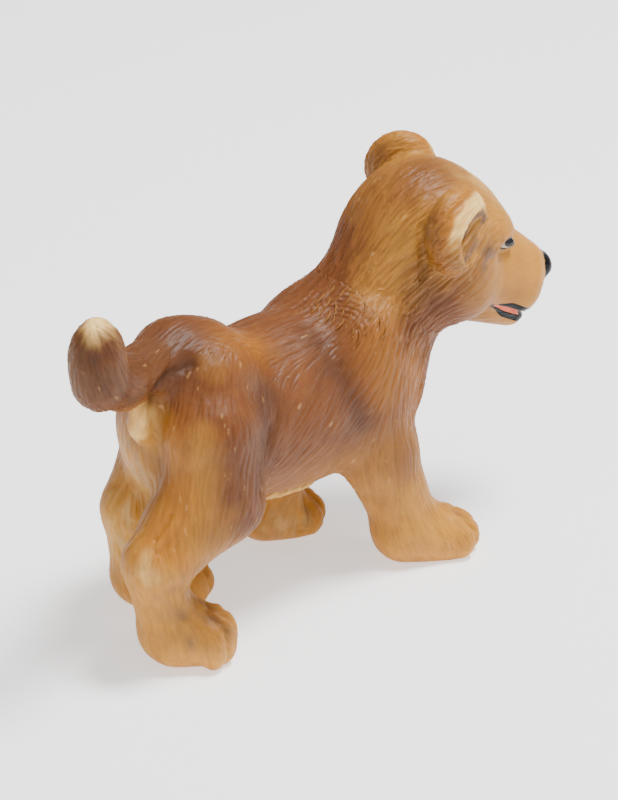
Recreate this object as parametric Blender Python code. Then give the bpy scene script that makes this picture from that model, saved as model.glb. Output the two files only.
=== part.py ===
"""A standing lion cub figure, moulded in sections that plug together at its natural creases.

The cub faces +X, its left side is +Y and its soles stand on Z = 0. One smooth body of clay lumps is
modelled first. Zones then divide it into trunk, head, jaw, legs, tail and tail tip, so that the
surface runs on across each joint. Ears, eyes, nose pad, tongue and lips are inserts with seats.
"""

from math import pi

import bmesh
import bpy
from mathutils import Matrix, Vector

# Driving sizes of the body, in metres
trunk_length = 0.030
trunk_width = 0.0146
back_height = 0.030

# Head sizes
head_length = 0.020
head_width = 0.015
head_height = 0.015

# Moulding and assembly
joint_gap = 0.0003
seam_lift = 0.0004
zone_slack = 0.0010
cut_reach = 0.060
clay_grain = 0.0007
clay_smooth_count = 9
clay_keep_share = 0.17

# Half sizes of the trunk lumps
pelvis_half = (0.0077, 0.0068, 0.0099)
barrel_half = (0.0132, 0.0075, 0.0095)
ribs_half = (0.0076, 0.0073, 0.0089)
breast_half = (0.0063, 0.0060, 0.0068)
pouch_half = (0.0025, 0.0023, 0.0031)
core_radius = 0.0078

# Radii along the neck
neck_base_radius = 0.0080
nape_radius = 0.0070
throat_base_radius = 0.0059
throat_radius = 0.0053

# Radii and half sizes of the head lumps
skull_half = (0.0078, 0.0078, 0.0076)
hind_skull_half = (0.0068, 0.0076, 0.0066)
cheek_half = (0.0048, 0.0036, 0.0044)
brow_radius = 0.0048
bridge_radius = 0.0032
muzzle_radius = 0.0033
muzzle_tip_radius = 0.0028
jaw_root_radius = 0.0028
chin_radius = 0.0021

# Radii along the legs
hip_radius = 0.0057
knee_radius = 0.0044
ham_radius = 0.0047
hock_radius = 0.0032
hock_point_radius = 0.0030
shank_radius = 0.0033
hind_heel_radius = 0.0037
hind_toe_radius = 0.0037
shoulder_radius = 0.0054
elbow_radius = 0.0045
wrist_radius = 0.0034
fore_heel_radius = 0.0036
fore_toe_radius = 0.0036
hip_seat_half = (0.0060, 0.0047, 0.0080)
shoulder_seat_half = (0.0053, 0.0041, 0.0071)

# Tail
tail_root_radius = 0.0036
tail_radius = 0.0029
tail_bend_radius = 0.0029
tuft_half = (0.0030, 0.0030, 0.0049)
tip_peg_radius = 0.0011
tip_peg_length = 0.0034

# Neck plug, an oblong peg that keeps the head from turning
neck_plug_half = (0.0032, 0.0030, 0.0020)

# Ears
ear_half = (0.0027, 0.0039, 0.0045)
ear_hollow_half = (0.0022, 0.0025, 0.0032)
ear_hollow_forward = 0.0021
ear_hollow_inward = 0.0008

# Small inserts of the face
eye_half = (0.0009, 0.0013, 0.0010)
nose_half = (0.0014, 0.0018, 0.0013)
lip_height = 0.0007
mouth_opening = 0.0012
tongue_half = (0.0022, 0.0016, 0.0003)
tongue_forward = 0.0026

# Places along the body, as shares of trunk length, trunk width and back height
MIDDLE_SHARES = (0.1204, -0.0673, 0.0)
PELVIS_SHARES = (-0.327, -0.02, 0.780)
CORE_REAR_SHARES = (-0.267, -0.014, 0.693)
CORE_FRONT_SHARES = (0.267, -0.014, 0.640)
BARREL_SHARES = (0.067, -0.014, 0.665)
RIBS_SHARES = (0.340, -0.027, 0.673)
BREAST_SHARES = (0.450, -0.062, 0.590)
POUCH_SHARES = (-0.517, -0.034, 0.817)
NECK_BASE_SHARES = (0.365, 0.0, 0.745)
NAPE_SHARES = (0.583, -0.082, 0.980)
THROAT_BASE_SHARES = (0.447, -0.055, 0.693)
THROAT_SHARES = (0.650, -0.123, 0.917)
HEAD_SHARES = (0.727, -0.130, 1.080)
NECK_SEAM_SHARES = (0.620, -0.100, 0.955)

HIND_LEG_SHARES = {
    "right": {
        "hip": (-0.383, -0.301, 0.767),
        "seat": (-0.383, -0.480, 0.668),
        "knee": (-0.373, -0.400, 0.533),
        "ham": (-0.433, -0.342, 0.600),
        "hock": (-0.627, -0.384, 0.393),
        "hock_point": (-0.653, -0.356, 0.387),
        "shank": (-0.573, -0.342, 0.133),
        "heel": (-0.553, -0.342, 0.107),
        "toe": (-0.485, -0.493, 0.077),
    },
    "left": {
        "hip": (-0.303, 0.212, 0.733),
        "seat": (-0.310, 0.460, 0.653),
        "knee": (-0.230, 0.322, 0.533),
        "ham": (-0.320, 0.274, 0.600),
        "hock": (-0.437, 0.329, 0.393),
        "hock_point": (-0.457, 0.345, 0.387),
        "shank": (-0.397, 0.329, 0.133),
        "heel": (-0.385, 0.322, 0.107),
        "toe": (-0.280, 0.219, 0.080),
    },
}
FORE_LEG_SHARES = {
    "right": {
        "shoulder": (0.320, -0.247, 0.667),
        "seat": (0.320, -0.440, 0.640),
        "elbow": (0.385, -0.342, 0.433),
        "wrist": (0.475, -0.438, 0.150),
        "heel": (0.473, -0.452, 0.100),
        "toe": (0.598, -0.603, 0.063),
    },
    "left": {
        "shoulder": (0.307, 0.247, 0.667),
        "seat": (0.307, 0.425, 0.640),
        "elbow": (0.287, 0.342, 0.433),
        "wrist": (0.200, 0.411, 0.150),
        "heel": (0.222, 0.465, 0.100),
        "toe": (0.347, 0.400, 0.073),
    },
}
TAIL_ROOT_SHARES = (-0.400, 0.020, 0.993)
TAIL_SEAT_SHARES = (-0.490, -0.020, 0.995)
TAIL_REAR_SHARES = (-0.567, -0.082, 0.997)
TAIL_LOW_SHARES = (-0.700, -0.178, 1.020)
TAIL_BEND_SHARES = (-0.815, -0.274, 1.078)
TUFT_SHARES = (-0.838, -0.300, 1.180)
TIP_SEAM_SHARES = (-0.838, -0.300, 1.105)

# Places in the head, as shares of head length, width and height from the middle of the skull
SKULL_SHARES = (-0.030, 0.0, 0.030)
HIND_SKULL_SHARES = (-0.100, 0.0, -0.153)
CHEEK_SHARES = (0.100, 0.287, -0.213)
BROW_SHARES = (0.190, 0.0, 0.013)
BRIDGE_SHARES = (0.550, 0.0, -0.187)
MUZZLE_SHARES = (0.400, 0.100, -0.227)
MUZZLE_TIP_SHARES = (0.590, 0.107, -0.280)
NOSE_SHARES = (0.685, 0.0, -0.170)
JAW_ROOT_SHARES = (0.200, 0.100, -0.400)
CHIN_SHARES = (0.530, 0.053, -0.500)
EAR_SHARES = (-0.048, 0.450, 0.260)
EYE_SHARES = (0.335, 0.245, 0.080)
MOUTH_SHARES = (0.400, 0.0, -0.333)

# Turns, in degrees
head_yaw_degrees = -19
head_pitch_degrees = -15
head_roll_degrees = 6
neck_seam_yaw_degrees = -10
neck_seam_pitch_degrees = 28
ear_yaw_degrees = 48
ear_pitch_degrees = 10
eye_yaw_degrees = 62
eye_roll_degrees = 14

BALL_DETAIL_COUNT = 4
SMALL_BALL_DETAIL_COUNT = 3
TINY_BALL_DETAIL_COUNT = 2


def body(shares):
    """A place on the body from its shares of the driving sizes, from the middle of the footprint."""
    along, across, up = (share - middle for share, middle in zip(shares, MIDDLE_SHARES))
    return Vector((along * trunk_length, across * trunk_width, up * back_height))


def turn(yaw=0, pitch=0, roll=0):
    """A turn by degrees: yaw to the left, pitch with the front upwards, roll about the front axis."""
    return (
        Matrix.Rotation(yaw * pi / 180, 4, "Z")
        @ Matrix.Rotation(-pitch * pi / 180, 4, "Y")
        @ Matrix.Rotation(roll * pi / 180, 4, "X")
    )


HEAD_TURN = turn(head_yaw_degrees, head_pitch_degrees, head_roll_degrees)


def head(shares, side=1):
    """A place in the head from its shares, mirrored to the right where side is -1."""
    offset = Vector((shares[0] * head_length, side * shares[1] * head_width, shares[2] * head_height))
    return body(HEAD_SHARES) + HEAD_TURN @ offset


def material(name, colour, roughness):
    """A plain moulded or painted surface."""
    made = bpy.data.materials.new(name)
    made.use_nodes = True
    shader = made.node_tree.nodes["Principled BSDF"]
    shader.inputs["Base Color"].default_value = (*colour, 1)
    shader.inputs["Roughness"].default_value = roughness
    shader.inputs["Metallic"].default_value = 0
    return made


def add_ball(mesh, centre, half, turned=None, detail=BALL_DETAIL_COUNT):
    """Add an ellipsoid to a bmesh and return its vertices."""
    made = bmesh.ops.create_icosphere(mesh, subdivisions=detail, radius=1)["verts"]
    shape = Matrix.Translation(centre) @ (turned or Matrix()) @ Matrix.Diagonal((*half, 1))
    bmesh.ops.transform(mesh, matrix=shape, verts=made)
    return made


def add_hull(mesh, balls, detail=SMALL_BALL_DETAIL_COUNT):
    """Add the smooth envelope of several (centre, half size) balls as one convex body."""
    cloud = bmesh.new()
    for centre, half in balls:
        add_ball(cloud, centre, half, None, detail)
    points = [vertex.co.copy() for vertex in cloud.verts]
    cloud.free()
    hull = bmesh.new()
    bmesh.ops.convex_hull(hull, input=[hull.verts.new(point) for point in points])
    loose = [vertex for vertex in hull.verts if not vertex.link_faces]
    bmesh.ops.delete(hull, geom=loose, context="VERTS")
    data = bpy.data.meshes.new("hull")
    hull.to_mesh(data)
    hull.free()
    mesh.from_mesh(data)
    bpy.data.meshes.remove(data)


def round_half(radius):
    """The half size of a round ball."""
    return (radius, radius, radius)


def add_bone(mesh, start, start_radius, end, end_radius):
    """Add a round, tapering limb section between two places."""
    add_hull(mesh, [(start, round_half(start_radius)), (end, round_half(end_radius))])


def finish_mesh(mesh, name):
    """Turn a bmesh into a mesh with its faces pointing out."""
    bmesh.ops.recalc_face_normals(mesh, faces=mesh.faces)
    data = bpy.data.meshes.new(name)
    mesh.to_mesh(data)
    mesh.free()
    return data


def place(name, data, look=None):
    """Put an object in the scene, as a hidden guide where it has no look of its own."""
    made = bpy.data.objects.new(name, data)
    bpy.context.scene.collection.objects.link(made)
    if look is None:
        made.hide_render = True
        made.display_type = "WIRE"
    else:
        data.materials.clear()
        data.materials.append(look)
    return made


def cutter(name, fill):
    """A hidden guide solid whose shape the given function adds to an empty bmesh."""
    mesh = bmesh.new()
    fill(mesh)
    return place(name, finish_mesh(mesh, name))


def block_cutter(name, centre, half, turned=None):
    """A hidden guide block."""

    def fill(mesh):
        corners = bmesh.ops.create_cube(mesh, size=2)["verts"]
        shape = Matrix.Translation(centre) @ (turned or Matrix()) @ Matrix.Diagonal((*half, 1))
        bmesh.ops.transform(mesh, matrix=shape, verts=corners)

    return cutter(name, fill)


def ball_cutter(name, centre, half, turned=None, detail=SMALL_BALL_DETAIL_COUNT):
    """A hidden guide ellipsoid."""
    return cutter(name, lambda mesh: add_ball(mesh, centre, half, turned, detail))


def grown(half, by=joint_gap):
    """A half size with a clearance all round."""
    return tuple(side + by for side in half)


def boolean(target, operation, *tools):
    """Cut, join or keep by each tool in turn."""
    for tool in tools:
        made = target.modifiers.new(f"{operation.lower()} {tool.name}", "BOOLEAN")
        made.operation = operation
        made.object = tool
        made.solver = "EXACT"


def evaluated_copy(source, name):
    """The mesh of an object with its modifiers worked out."""
    bpy.context.view_layer.update()
    graph = bpy.context.evaluated_depsgraph_get()
    data = bpy.data.meshes.new_from_object(source.evaluated_get(graph))
    data.name = name
    return data


def add_trunk_lumps(mesh):
    """Pelvis, barrel, rib cage, breast and the small pouch under the tail."""
    add_ball(mesh, body(PELVIS_SHARES), pelvis_half)
    add_ball(mesh, body(BARREL_SHARES), barrel_half)
    add_ball(mesh, body(RIBS_SHARES), ribs_half)
    add_ball(mesh, body(BREAST_SHARES), breast_half)
    add_ball(mesh, body(POUCH_SHARES), pouch_half)
    add_bone(mesh, body(CORE_REAR_SHARES), core_radius, body(CORE_FRONT_SHARES), core_radius)
    add_bone(mesh, body(NECK_BASE_SHARES), neck_base_radius, body(NAPE_SHARES), nape_radius)
    add_bone(mesh, body(THROAT_BASE_SHARES), throat_base_radius, body(THROAT_SHARES), throat_radius)


def add_head_lumps(mesh):
    """Skull, cheeks, bridge of the nose, muzzle and chin."""
    add_ball(mesh, head(SKULL_SHARES), skull_half, HEAD_TURN)
    add_ball(mesh, head(HIND_SKULL_SHARES), hind_skull_half, HEAD_TURN)
    add_bone(mesh, head(BROW_SHARES), brow_radius, head(BRIDGE_SHARES), bridge_radius)
    for side in (1, -1):
        add_ball(mesh, head(CHEEK_SHARES, side), cheek_half, HEAD_TURN)
        add_bone(
            mesh,
            head(MUZZLE_SHARES, side),
            muzzle_radius,
            head(MUZZLE_TIP_SHARES, side),
            muzzle_tip_radius,
        )
    jaw = [(head(JAW_ROOT_SHARES, side), round_half(jaw_root_radius)) for side in (1, -1)]
    jaw += [(head(CHIN_SHARES, side), round_half(chin_radius)) for side in (1, -1)]
    add_hull(mesh, jaw)


def add_hind_leg_lumps(mesh, joints):
    """Thigh, ham, shank and paw of a hind leg."""
    at = {name: body(shares) for name, shares in joints.items()}
    add_bone(mesh, at["hip"], hip_radius, at["knee"], knee_radius)
    add_bone(mesh, at["ham"], ham_radius, at["hock"], hock_radius)
    add_bone(mesh, at["knee"], knee_radius, at["hock"], hock_radius)
    add_bone(mesh, at["hock_point"], hock_point_radius, at["shank"], shank_radius)
    add_bone(mesh, at["heel"], hind_heel_radius, at["toe"], hind_toe_radius)


def add_fore_leg_lumps(mesh, joints):
    """Shoulder, forearm and paw of a front leg."""
    at = {name: body(shares) for name, shares in joints.items()}
    add_bone(mesh, at["shoulder"], shoulder_radius, at["elbow"], elbow_radius)
    add_bone(mesh, at["elbow"], elbow_radius, at["wrist"], wrist_radius)
    add_bone(mesh, at["heel"], fore_heel_radius, at["toe"], fore_toe_radius)


def add_tail_lumps(mesh):
    """The tail from its root to the curled-up tuft."""
    stations = (
        (TAIL_ROOT_SHARES, tail_root_radius),
        (TAIL_REAR_SHARES, tail_radius),
        (TAIL_LOW_SHARES, tail_radius),
        (TAIL_BEND_SHARES, tail_bend_radius),
    )
    for (start, start_radius), (end, end_radius) in zip(stations, stations[1:]):
        add_bone(mesh, body(start), start_radius, body(end), end_radius)
    add_ball(mesh, body(TUFT_SHARES), tuft_half)


def make_clay():
    """The whole smooth figure without its ears and inserts, cut flat at the soles."""
    mesh = bmesh.new()
    add_trunk_lumps(mesh)
    add_head_lumps(mesh)
    for joints in HIND_LEG_SHARES.values():
        add_hind_leg_lumps(mesh, joints)
    for joints in FORE_LEG_SHARES.values():
        add_fore_leg_lumps(mesh, joints)
    add_tail_lumps(mesh)
    rough = place("clay_lumps", finish_mesh(mesh, "clay_lumps"))
    skin = rough.modifiers.new("skin", "REMESH")
    skin.mode = "VOXEL"
    skin.voxel_size = clay_grain
    skin.use_smooth_shade = True
    soften = rough.modifiers.new("soften", "SMOOTH")
    soften.factor = 0.5
    soften.iterations = clay_smooth_count
    thin_out = rough.modifiers.new("thin out", "DECIMATE")
    thin_out.ratio = clay_keep_share
    ground = block_cutter("ground", Vector((0, 0, -cut_reach)), round_half(cut_reach))
    boolean(rough, "DIFFERENCE", ground)
    return evaluated_copy(rough, "clay")


def leg_zone(name, joints, seat_half, balls, by=0.0):
    """The convex space that a leg takes from the clay, from its oval seat down to its toes."""
    at = {joint: body(shares) for joint, shares in joints.items()}
    members = [(at["seat"], grown(seat_half, by))]
    members += [(at[joint], round_half(radius + slack + by)) for joint, radius, slack in balls]
    return cutter(name, lambda mesh: add_hull(mesh, members, TINY_BALL_DETAIL_COUNT))


HIND_ZONE = (
    ("knee", knee_radius, seam_lift),
    ("hock", hock_radius, zone_slack),
    ("hock_point", hock_point_radius, zone_slack),
    ("heel", hind_heel_radius, zone_slack),
    ("toe", hind_toe_radius, zone_slack),
)
FORE_ZONE = (
    ("elbow", elbow_radius, seam_lift),
    ("wrist", wrist_radius, zone_slack),
    ("heel", fore_heel_radius, zone_slack),
    ("toe", fore_toe_radius, zone_slack),
)


def tail_zone(name, by=0.0):
    """The convex space that tail and tuft take from the clay."""
    members = [
        (body(TAIL_SEAT_SHARES), round_half(tail_root_radius + by)),
        (body(TAIL_REAR_SHARES), round_half(tail_radius + seam_lift + by)),
        (body(TAIL_LOW_SHARES), round_half(tail_radius + zone_slack + by)),
        (body(TAIL_BEND_SHARES), round_half(tail_bend_radius + zone_slack + by)),
        (body(TUFT_SHARES), grown(tuft_half, zone_slack + by)),
    ]
    return cutter(name, lambda mesh: add_hull(mesh, members, TINY_BALL_DETAIL_COUNT))


def half_space(name, at, turned, back_off=0.0):
    """A large block in front of a seam plane, along the turned X axis."""
    forward = turned @ Vector((1, 0, 0))
    return block_cutter(name, at + forward * (cut_reach + back_off), round_half(cut_reach), turned)


def make_legs(clay, trunk, looks):
    """Cut the four legs out of the clay and their seats out of the trunk."""
    pairs = (
        ("hind", HIND_LEG_SHARES, hip_seat_half, HIND_ZONE),
        ("front", FORE_LEG_SHARES, shoulder_seat_half, FORE_ZONE),
    )
    for pair, legs, seat_half, balls in pairs:
        for side, joints in legs.items():
            leg = place(f"{side}_{pair}_leg", clay.copy(), looks["leg"])
            boolean(leg, "INTERSECT", leg_zone(f"{side}_{pair}_zone", joints, seat_half, balls))
            seat = leg_zone(f"{side}_{pair}_seat", joints, seat_half, balls, joint_gap)
            boolean(trunk, "DIFFERENCE", seat)


def make_tail(clay, trunk, looks):
    """Cut the tail and its tuft out of the clay. A peg on the tail holds the tuft."""
    tail = place("tail", clay.copy(), looks["tail"])
    tip = place("tail_tip", clay.copy(), looks["tuft"])
    seam = body(TIP_SEAM_SHARES)
    upwards = turn(pitch=90)
    boolean(tail, "INTERSECT", tail_zone("tail_zone"))
    boolean(tail, "DIFFERENCE", half_space("tip_side", seam, upwards))
    boolean(tip, "INTERSECT", tail_zone("tip_zone"), half_space("tip_side_clear", seam, upwards, joint_gap))
    peg_half = (tip_peg_radius, tip_peg_radius, tip_peg_length / 2)
    boolean(tail, "UNION", ball_cutter("tip_peg", seam, peg_half))
    boolean(tip, "DIFFERENCE", ball_cutter("tip_peg_hole", seam, grown(peg_half)))
    boolean(trunk, "DIFFERENCE", tail_zone("tail_seat", joint_gap))


def mouth_slab(name, top, bottom, rear_slack=0.0):
    """A slab in front of the mouth's corners, between two depths below the top of the upper lip."""
    forward = (head_length - rear_slack) / 2
    offset = HEAD_TURN @ Vector((forward, 0, -(top + bottom) / 2))
    half = (head_length / 2 + rear_slack / 2, head_width / 2, (bottom - top) / 2)
    return block_cutter(name, head(MOUTH_SHARES) + offset, half, HEAD_TURN)


def make_mouth(clay, skull, looks):
    """Part the lower jaw from the head, with a lip on each side of the gap and the tongue between."""
    opening_top = lip_height
    opening_bottom = opening_top + mouth_opening
    chin_top = opening_bottom + lip_height
    chin_low = head_height
    upper_lip = place("upper_lip", clay.copy(), looks["black"])
    boolean(upper_lip, "INTERSECT", mouth_slab("upper_lip_zone", 0, opening_top))
    lower_lip = place("lower_lip", clay.copy(), looks["black"])
    boolean(lower_lip, "INTERSECT", mouth_slab("lower_lip_zone", opening_bottom, chin_top))
    jaw = place("lower_jaw", clay.copy(), looks["face"])
    boolean(jaw, "INTERSECT", mouth_slab("jaw_zone", chin_top + joint_gap, chin_low))
    boolean(skull, "DIFFERENCE", mouth_slab("mouth_cut", -joint_gap, chin_low, joint_gap))
    tongue_lift = opening_bottom - joint_gap - tongue_half[2]
    centre = head(MOUTH_SHARES) + HEAD_TURN @ Vector((tongue_forward, 0, -tongue_lift))
    mesh = bmesh.new()
    add_ball(mesh, centre, tongue_half, HEAD_TURN, TINY_BALL_DETAIL_COUNT)
    place("tongue", finish_mesh(mesh, "tongue"), looks["tongue"])


def make_insert(name, centre, half, turned, owner, look):
    """A rounded insert and the seat it lies in."""
    mesh = bmesh.new()
    add_ball(mesh, centre, half, turned, TINY_BALL_DETAIL_COUNT)
    place(name, finish_mesh(mesh, name), look)
    seat = ball_cutter(f"{name}_seat", centre, grown(half), turned, TINY_BALL_DETAIL_COUNT)
    boolean(owner, "DIFFERENCE", seat)


def make_ear(side_name, side, skull, look):
    """A cupped ear, plugged into the side of the skull."""
    centre = head(EAR_SHARES, side)
    turned = HEAD_TURN @ turn(side * ear_yaw_degrees, ear_pitch_degrees)
    mesh = bmesh.new()
    add_ball(mesh, centre, ear_half, turned, SMALL_BALL_DETAIL_COUNT)
    ear = place(f"{side_name}_ear", finish_mesh(mesh, f"{side_name}_ear"), look)
    inner = centre + turned @ Vector((ear_hollow_forward, -side * ear_hollow_inward, 0))
    hollow = ball_cutter(f"{side_name}_ear_hollow", inner, ear_hollow_half, turned)
    boolean(ear, "DIFFERENCE", hollow)
    boolean(skull, "DIFFERENCE", ball_cutter(f"{side_name}_ear_seat", centre, grown(ear_half), turned), hollow)


def make_head(clay, trunk, looks):
    """Part the head from the neck at the crease behind the ears, and fit its face."""
    skull = place("head", clay.copy(), looks["face"])
    seam = body(NECK_SEAM_SHARES)
    turned = turn(neck_seam_yaw_degrees, neck_seam_pitch_degrees)
    boolean(skull, "INTERSECT", half_space("head_side", seam, turned, joint_gap))
    boolean(trunk, "DIFFERENCE", half_space("neck_side", seam, turned))
    boolean(trunk, "UNION", block_cutter("neck_plug", seam, neck_plug_half, turned))
    boolean(skull, "DIFFERENCE", block_cutter("neck_socket", seam, grown(neck_plug_half), turned))
    for side_name, side in (("left", 1), ("right", -1)):
        make_ear(side_name, side, skull, looks["ear"])
        eye_turn = HEAD_TURN @ turn(side * eye_yaw_degrees, 0, side * eye_roll_degrees)
        make_insert(f"{side_name}_eye", head(EYE_SHARES, side), eye_half, eye_turn, skull, looks["eye"])
    make_insert("nose_pad", head(NOSE_SHARES), nose_half, HEAD_TURN, skull, looks["black"])
    make_mouth(clay, skull, looks)


def main():
    """Model the figure."""
    for old in list(bpy.data.objects):
        bpy.data.objects.remove(old)
    looks = {
        "trunk": material("tan PVC, back brown", (0.34, 0.13, 0.04), 0.45),
        "leg": material("tan PVC, legs", (0.55, 0.34, 0.14), 0.45),
        "tail": material("tan PVC, tail brown", (0.31, 0.12, 0.04), 0.45),
        "tuft": material("painted tuft", (0.17, 0.10, 0.08), 0.5),
        "face": material("tan PVC, face", (0.60, 0.36, 0.13), 0.45),
        "ear": material("tan PVC, ears", (0.45, 0.20, 0.06), 0.45),
        "eye": material("painted eye", (0.05, 0.04, 0.04), 0.3),
        "black": material("painted black", (0.02, 0.02, 0.02), 0.35),
        "tongue": material("painted tongue", (0.72, 0.20, 0.12), 0.4),
    }
    clay = make_clay()
    trunk = place("trunk", clay.copy(), looks["trunk"])
    make_legs(clay, trunk, looks)
    make_tail(clay, trunk, looks)
    make_head(clay, trunk, looks)


main()
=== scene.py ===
"""Looks of a small solid PVC figure of a standing lion cub.

The figure is sculpted as one continuous skin, as its maker did in clay: rounded lumps that flow into each
other, then combed fur, then airbrushed paint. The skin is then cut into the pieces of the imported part, so
that relief and colour run on across every joint. Sculpting sizes are in millimetres, in the part's frame.
"""

import logging
import math
from dataclasses import dataclass, field
from enum import Enum
from functools import partial
from typing import Callable, ClassVar, Iterable, Sequence

import bpy
import numpy as np
from mathutils import Matrix, Vector


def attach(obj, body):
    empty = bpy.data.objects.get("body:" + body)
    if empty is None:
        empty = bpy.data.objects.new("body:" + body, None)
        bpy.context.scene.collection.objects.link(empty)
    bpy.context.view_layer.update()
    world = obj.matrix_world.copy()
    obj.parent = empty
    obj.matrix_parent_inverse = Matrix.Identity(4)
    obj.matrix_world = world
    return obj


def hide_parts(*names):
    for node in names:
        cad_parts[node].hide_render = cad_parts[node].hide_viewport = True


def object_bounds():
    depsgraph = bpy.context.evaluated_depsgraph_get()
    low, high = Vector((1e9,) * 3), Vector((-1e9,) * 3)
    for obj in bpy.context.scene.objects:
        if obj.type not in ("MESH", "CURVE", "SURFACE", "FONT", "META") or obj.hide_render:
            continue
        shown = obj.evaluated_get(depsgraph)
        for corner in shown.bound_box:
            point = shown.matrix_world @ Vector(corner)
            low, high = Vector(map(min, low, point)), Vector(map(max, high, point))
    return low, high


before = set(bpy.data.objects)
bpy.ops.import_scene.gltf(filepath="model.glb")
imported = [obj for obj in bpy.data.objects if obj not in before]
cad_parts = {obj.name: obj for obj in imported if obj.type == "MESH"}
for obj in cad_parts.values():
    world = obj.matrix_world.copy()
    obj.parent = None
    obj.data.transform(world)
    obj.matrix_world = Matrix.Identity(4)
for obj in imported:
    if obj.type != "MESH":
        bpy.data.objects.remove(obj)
CAD_LOW, CAD_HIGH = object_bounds()

LOG = logging.getLogger("lion_cub")
ROOT_BODY = "root"

# The figure is drawn at its usual length, and DRAWN_MM turns a drawn millimetre to metres at the part's size.
MM = 0.001
DRAWN_LENGTH = 63.2
GROWTH = (CAD_HIGH.x - CAD_LOW.x) / (DRAWN_LENGTH * MM)
DRAWN_MM = GROWTH * MM

Place = tuple[float, float, float]
Array = np.ndarray
Distance = Callable[[Array], Array]
Pieces = list[bpy.types.Object]

# The grid that the skin is meshed on. It is sampled in blocks, and finely only where a block is near the skin.
SCULPT_LOW, SCULPT_HIGH = (-34.0, -13.6, -1.3), (34.0, 13.6, 43.6)
SKIN_CELL = 0.13
COARSE_STEP = 4
NEAR_SHARE = 1.9
# A lump changes nothing further from it than the margin, and beyond every lump the clay is far away.
LUMP_MARGIN = 3.0
FAR_AWAY = 9.0
# Points are pulled onto the figure in a few rounds, with steps that stay short where its slope is flat.
SETTLE_ROUNDS = 2
GUIDE_SETTLE_ROUNDS = 6
GRADIENT_STEP = 0.04
LEAST_SLOPE_SQUARE = 0.2
# A seam is kept off the places where two fields are equal, and off the corners that it passes.
SEAM_SHIFT = 0.01
EDGE_MARGIN = 0.04
# What keeps a division off zero.
NO_ZERO = 1e-9


def smooth_min(first: Array, second: Array, blend: float) -> Array:
    """Join two distance fields with a soft fillet.

    Args:
        first: Distances to the first shape.
        second: Distances to the second shape.
        blend: Width of the fillet in millimetres.

    Returns:
        Distances to the joined shape.
    """
    share = np.clip(0.5 + 0.5 * (second - first) / blend, 0, 1)
    return second + (first - second) * share - blend * share * (1 - share)


def smooth_max(first: Array, second: Array, blend: float) -> Array:
    """Keep what two distance fields share, with a softened edge."""
    return -smooth_min(-first, -second, blend)


def smooth_step(low: float, high: float, value: Array) -> Array:
    """Ramp smoothly from 0 at low to 1 at high, or down where low is the larger."""
    share = np.clip((value - low) / (high - low), 0, 1)
    return share * share * (3 - 2 * share)


def turn(yaw: float = 0, pitch: float = 0, roll: float = 0) -> Array:
    """Make a rotation matrix from degrees.

    Args:
        yaw: Turn to the left about the upright axis.
        pitch: Turn that lifts the front.
        roll: Turn about the front axis.

    Returns:
        A 3 by 3 matrix whose columns are the turned axes.
    """
    made = (
        Matrix.Rotation(math.radians(yaw), 3, "Z")
        @ Matrix.Rotation(math.radians(-pitch), 3, "Y")
        @ Matrix.Rotation(math.radians(roll), 3, "X")
    )
    return np.array(made)


def segment_distance(points: Array, start: Place, end: Place) -> Array:
    """Measure how far points are from a straight line between two places.

    Args:
        points: Places, one a row.
        start: One end of the line.
        end: The other end.

    Returns:
        One distance a point.
    """
    low, along = np.array(start, float), np.subtract(end, start).astype(float)
    offset = points - low
    share = np.clip(offset @ along / max(float(along @ along), NO_ZERO), 0, 1)
    return np.linalg.norm(offset - share[:, None] * along, axis=1)


@dataclass(frozen=True)
class Ball:
    """An ellipsoid of clay.

    Args:
        centre: Its middle.
        half: Its half sizes along its own axes.
        blend: Width of the fillet to what is already there.
        axes: Its turned axes, or None where it is upright.
    """

    centre: Place
    half: Place
    blend: float = 2.0
    axes: Array | None = None

    def near(self, points: Array) -> Array:
        """Mask of the points that this lump can change."""
        reach = max(self.half) + LUMP_MARGIN
        return ((points - self.centre) ** 2).sum(1) < reach * reach

    def distance(self, points: Array) -> Array:
        """Measure how far points are from the ellipsoid.

        Args:
            points: Places, one a row.

        Returns:
            One distance a point, exact at the surface and close to it near by.
        """
        offset = points - self.centre
        if self.axes is not None:
            offset = offset @ self.axes
        half = np.array(self.half)
        level = np.sqrt(((offset / half) ** 2).sum(1))
        slope = np.sqrt(((offset / half**2) ** 2).sum(1))
        return level * (level - 1) / np.maximum(slope, NO_ZERO)


@dataclass(frozen=True)
class Bone:
    """A round, tapering section between two places."""

    start: Place
    start_radius: float
    end: Place
    end_radius: float
    blend: float = 2.0

    def near(self, points: Array) -> Array:
        """Mask of the points that this lump can change."""
        reach = math.dist(self.start, self.end) / 2 + max(self.start_radius, self.end_radius) + LUMP_MARGIN
        return ((points - np.add(self.start, self.end) / 2) ** 2).sum(1) < reach * reach

    def distance(self, points: Array) -> Array:
        """Measure how far points are from the round cone that wraps both end balls.

        Args:
            points: Places, one a row.

        Returns:
            One distance a point.
        """
        start, along = np.array(self.start, float), np.subtract(self.end, self.start).astype(float)
        square = float(along @ along)
        taper = self.start_radius - self.end_radius
        side_square = square - taper * taper
        offset = points - start
        forward = offset @ along
        past = forward - square
        across = ((offset * square - forward[:, None] * along) ** 2).sum(1)
        edge = np.sign(taper) * taper * taper * across
        found = (np.sqrt(across * side_square / square) + forward * taper) / square - self.start_radius
        before_start = np.sign(forward) * side_square * forward * forward * square < edge
        past_end = np.sign(past) * side_square * past * past * square > edge
        found = np.where(before_start, np.linalg.norm(offset, axis=1) - self.start_radius, found)
        to_end = np.linalg.norm(points - np.array(self.end, float), axis=1) - self.end_radius
        return np.where(past_end, to_end, found)


Lump = Ball | Bone


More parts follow.
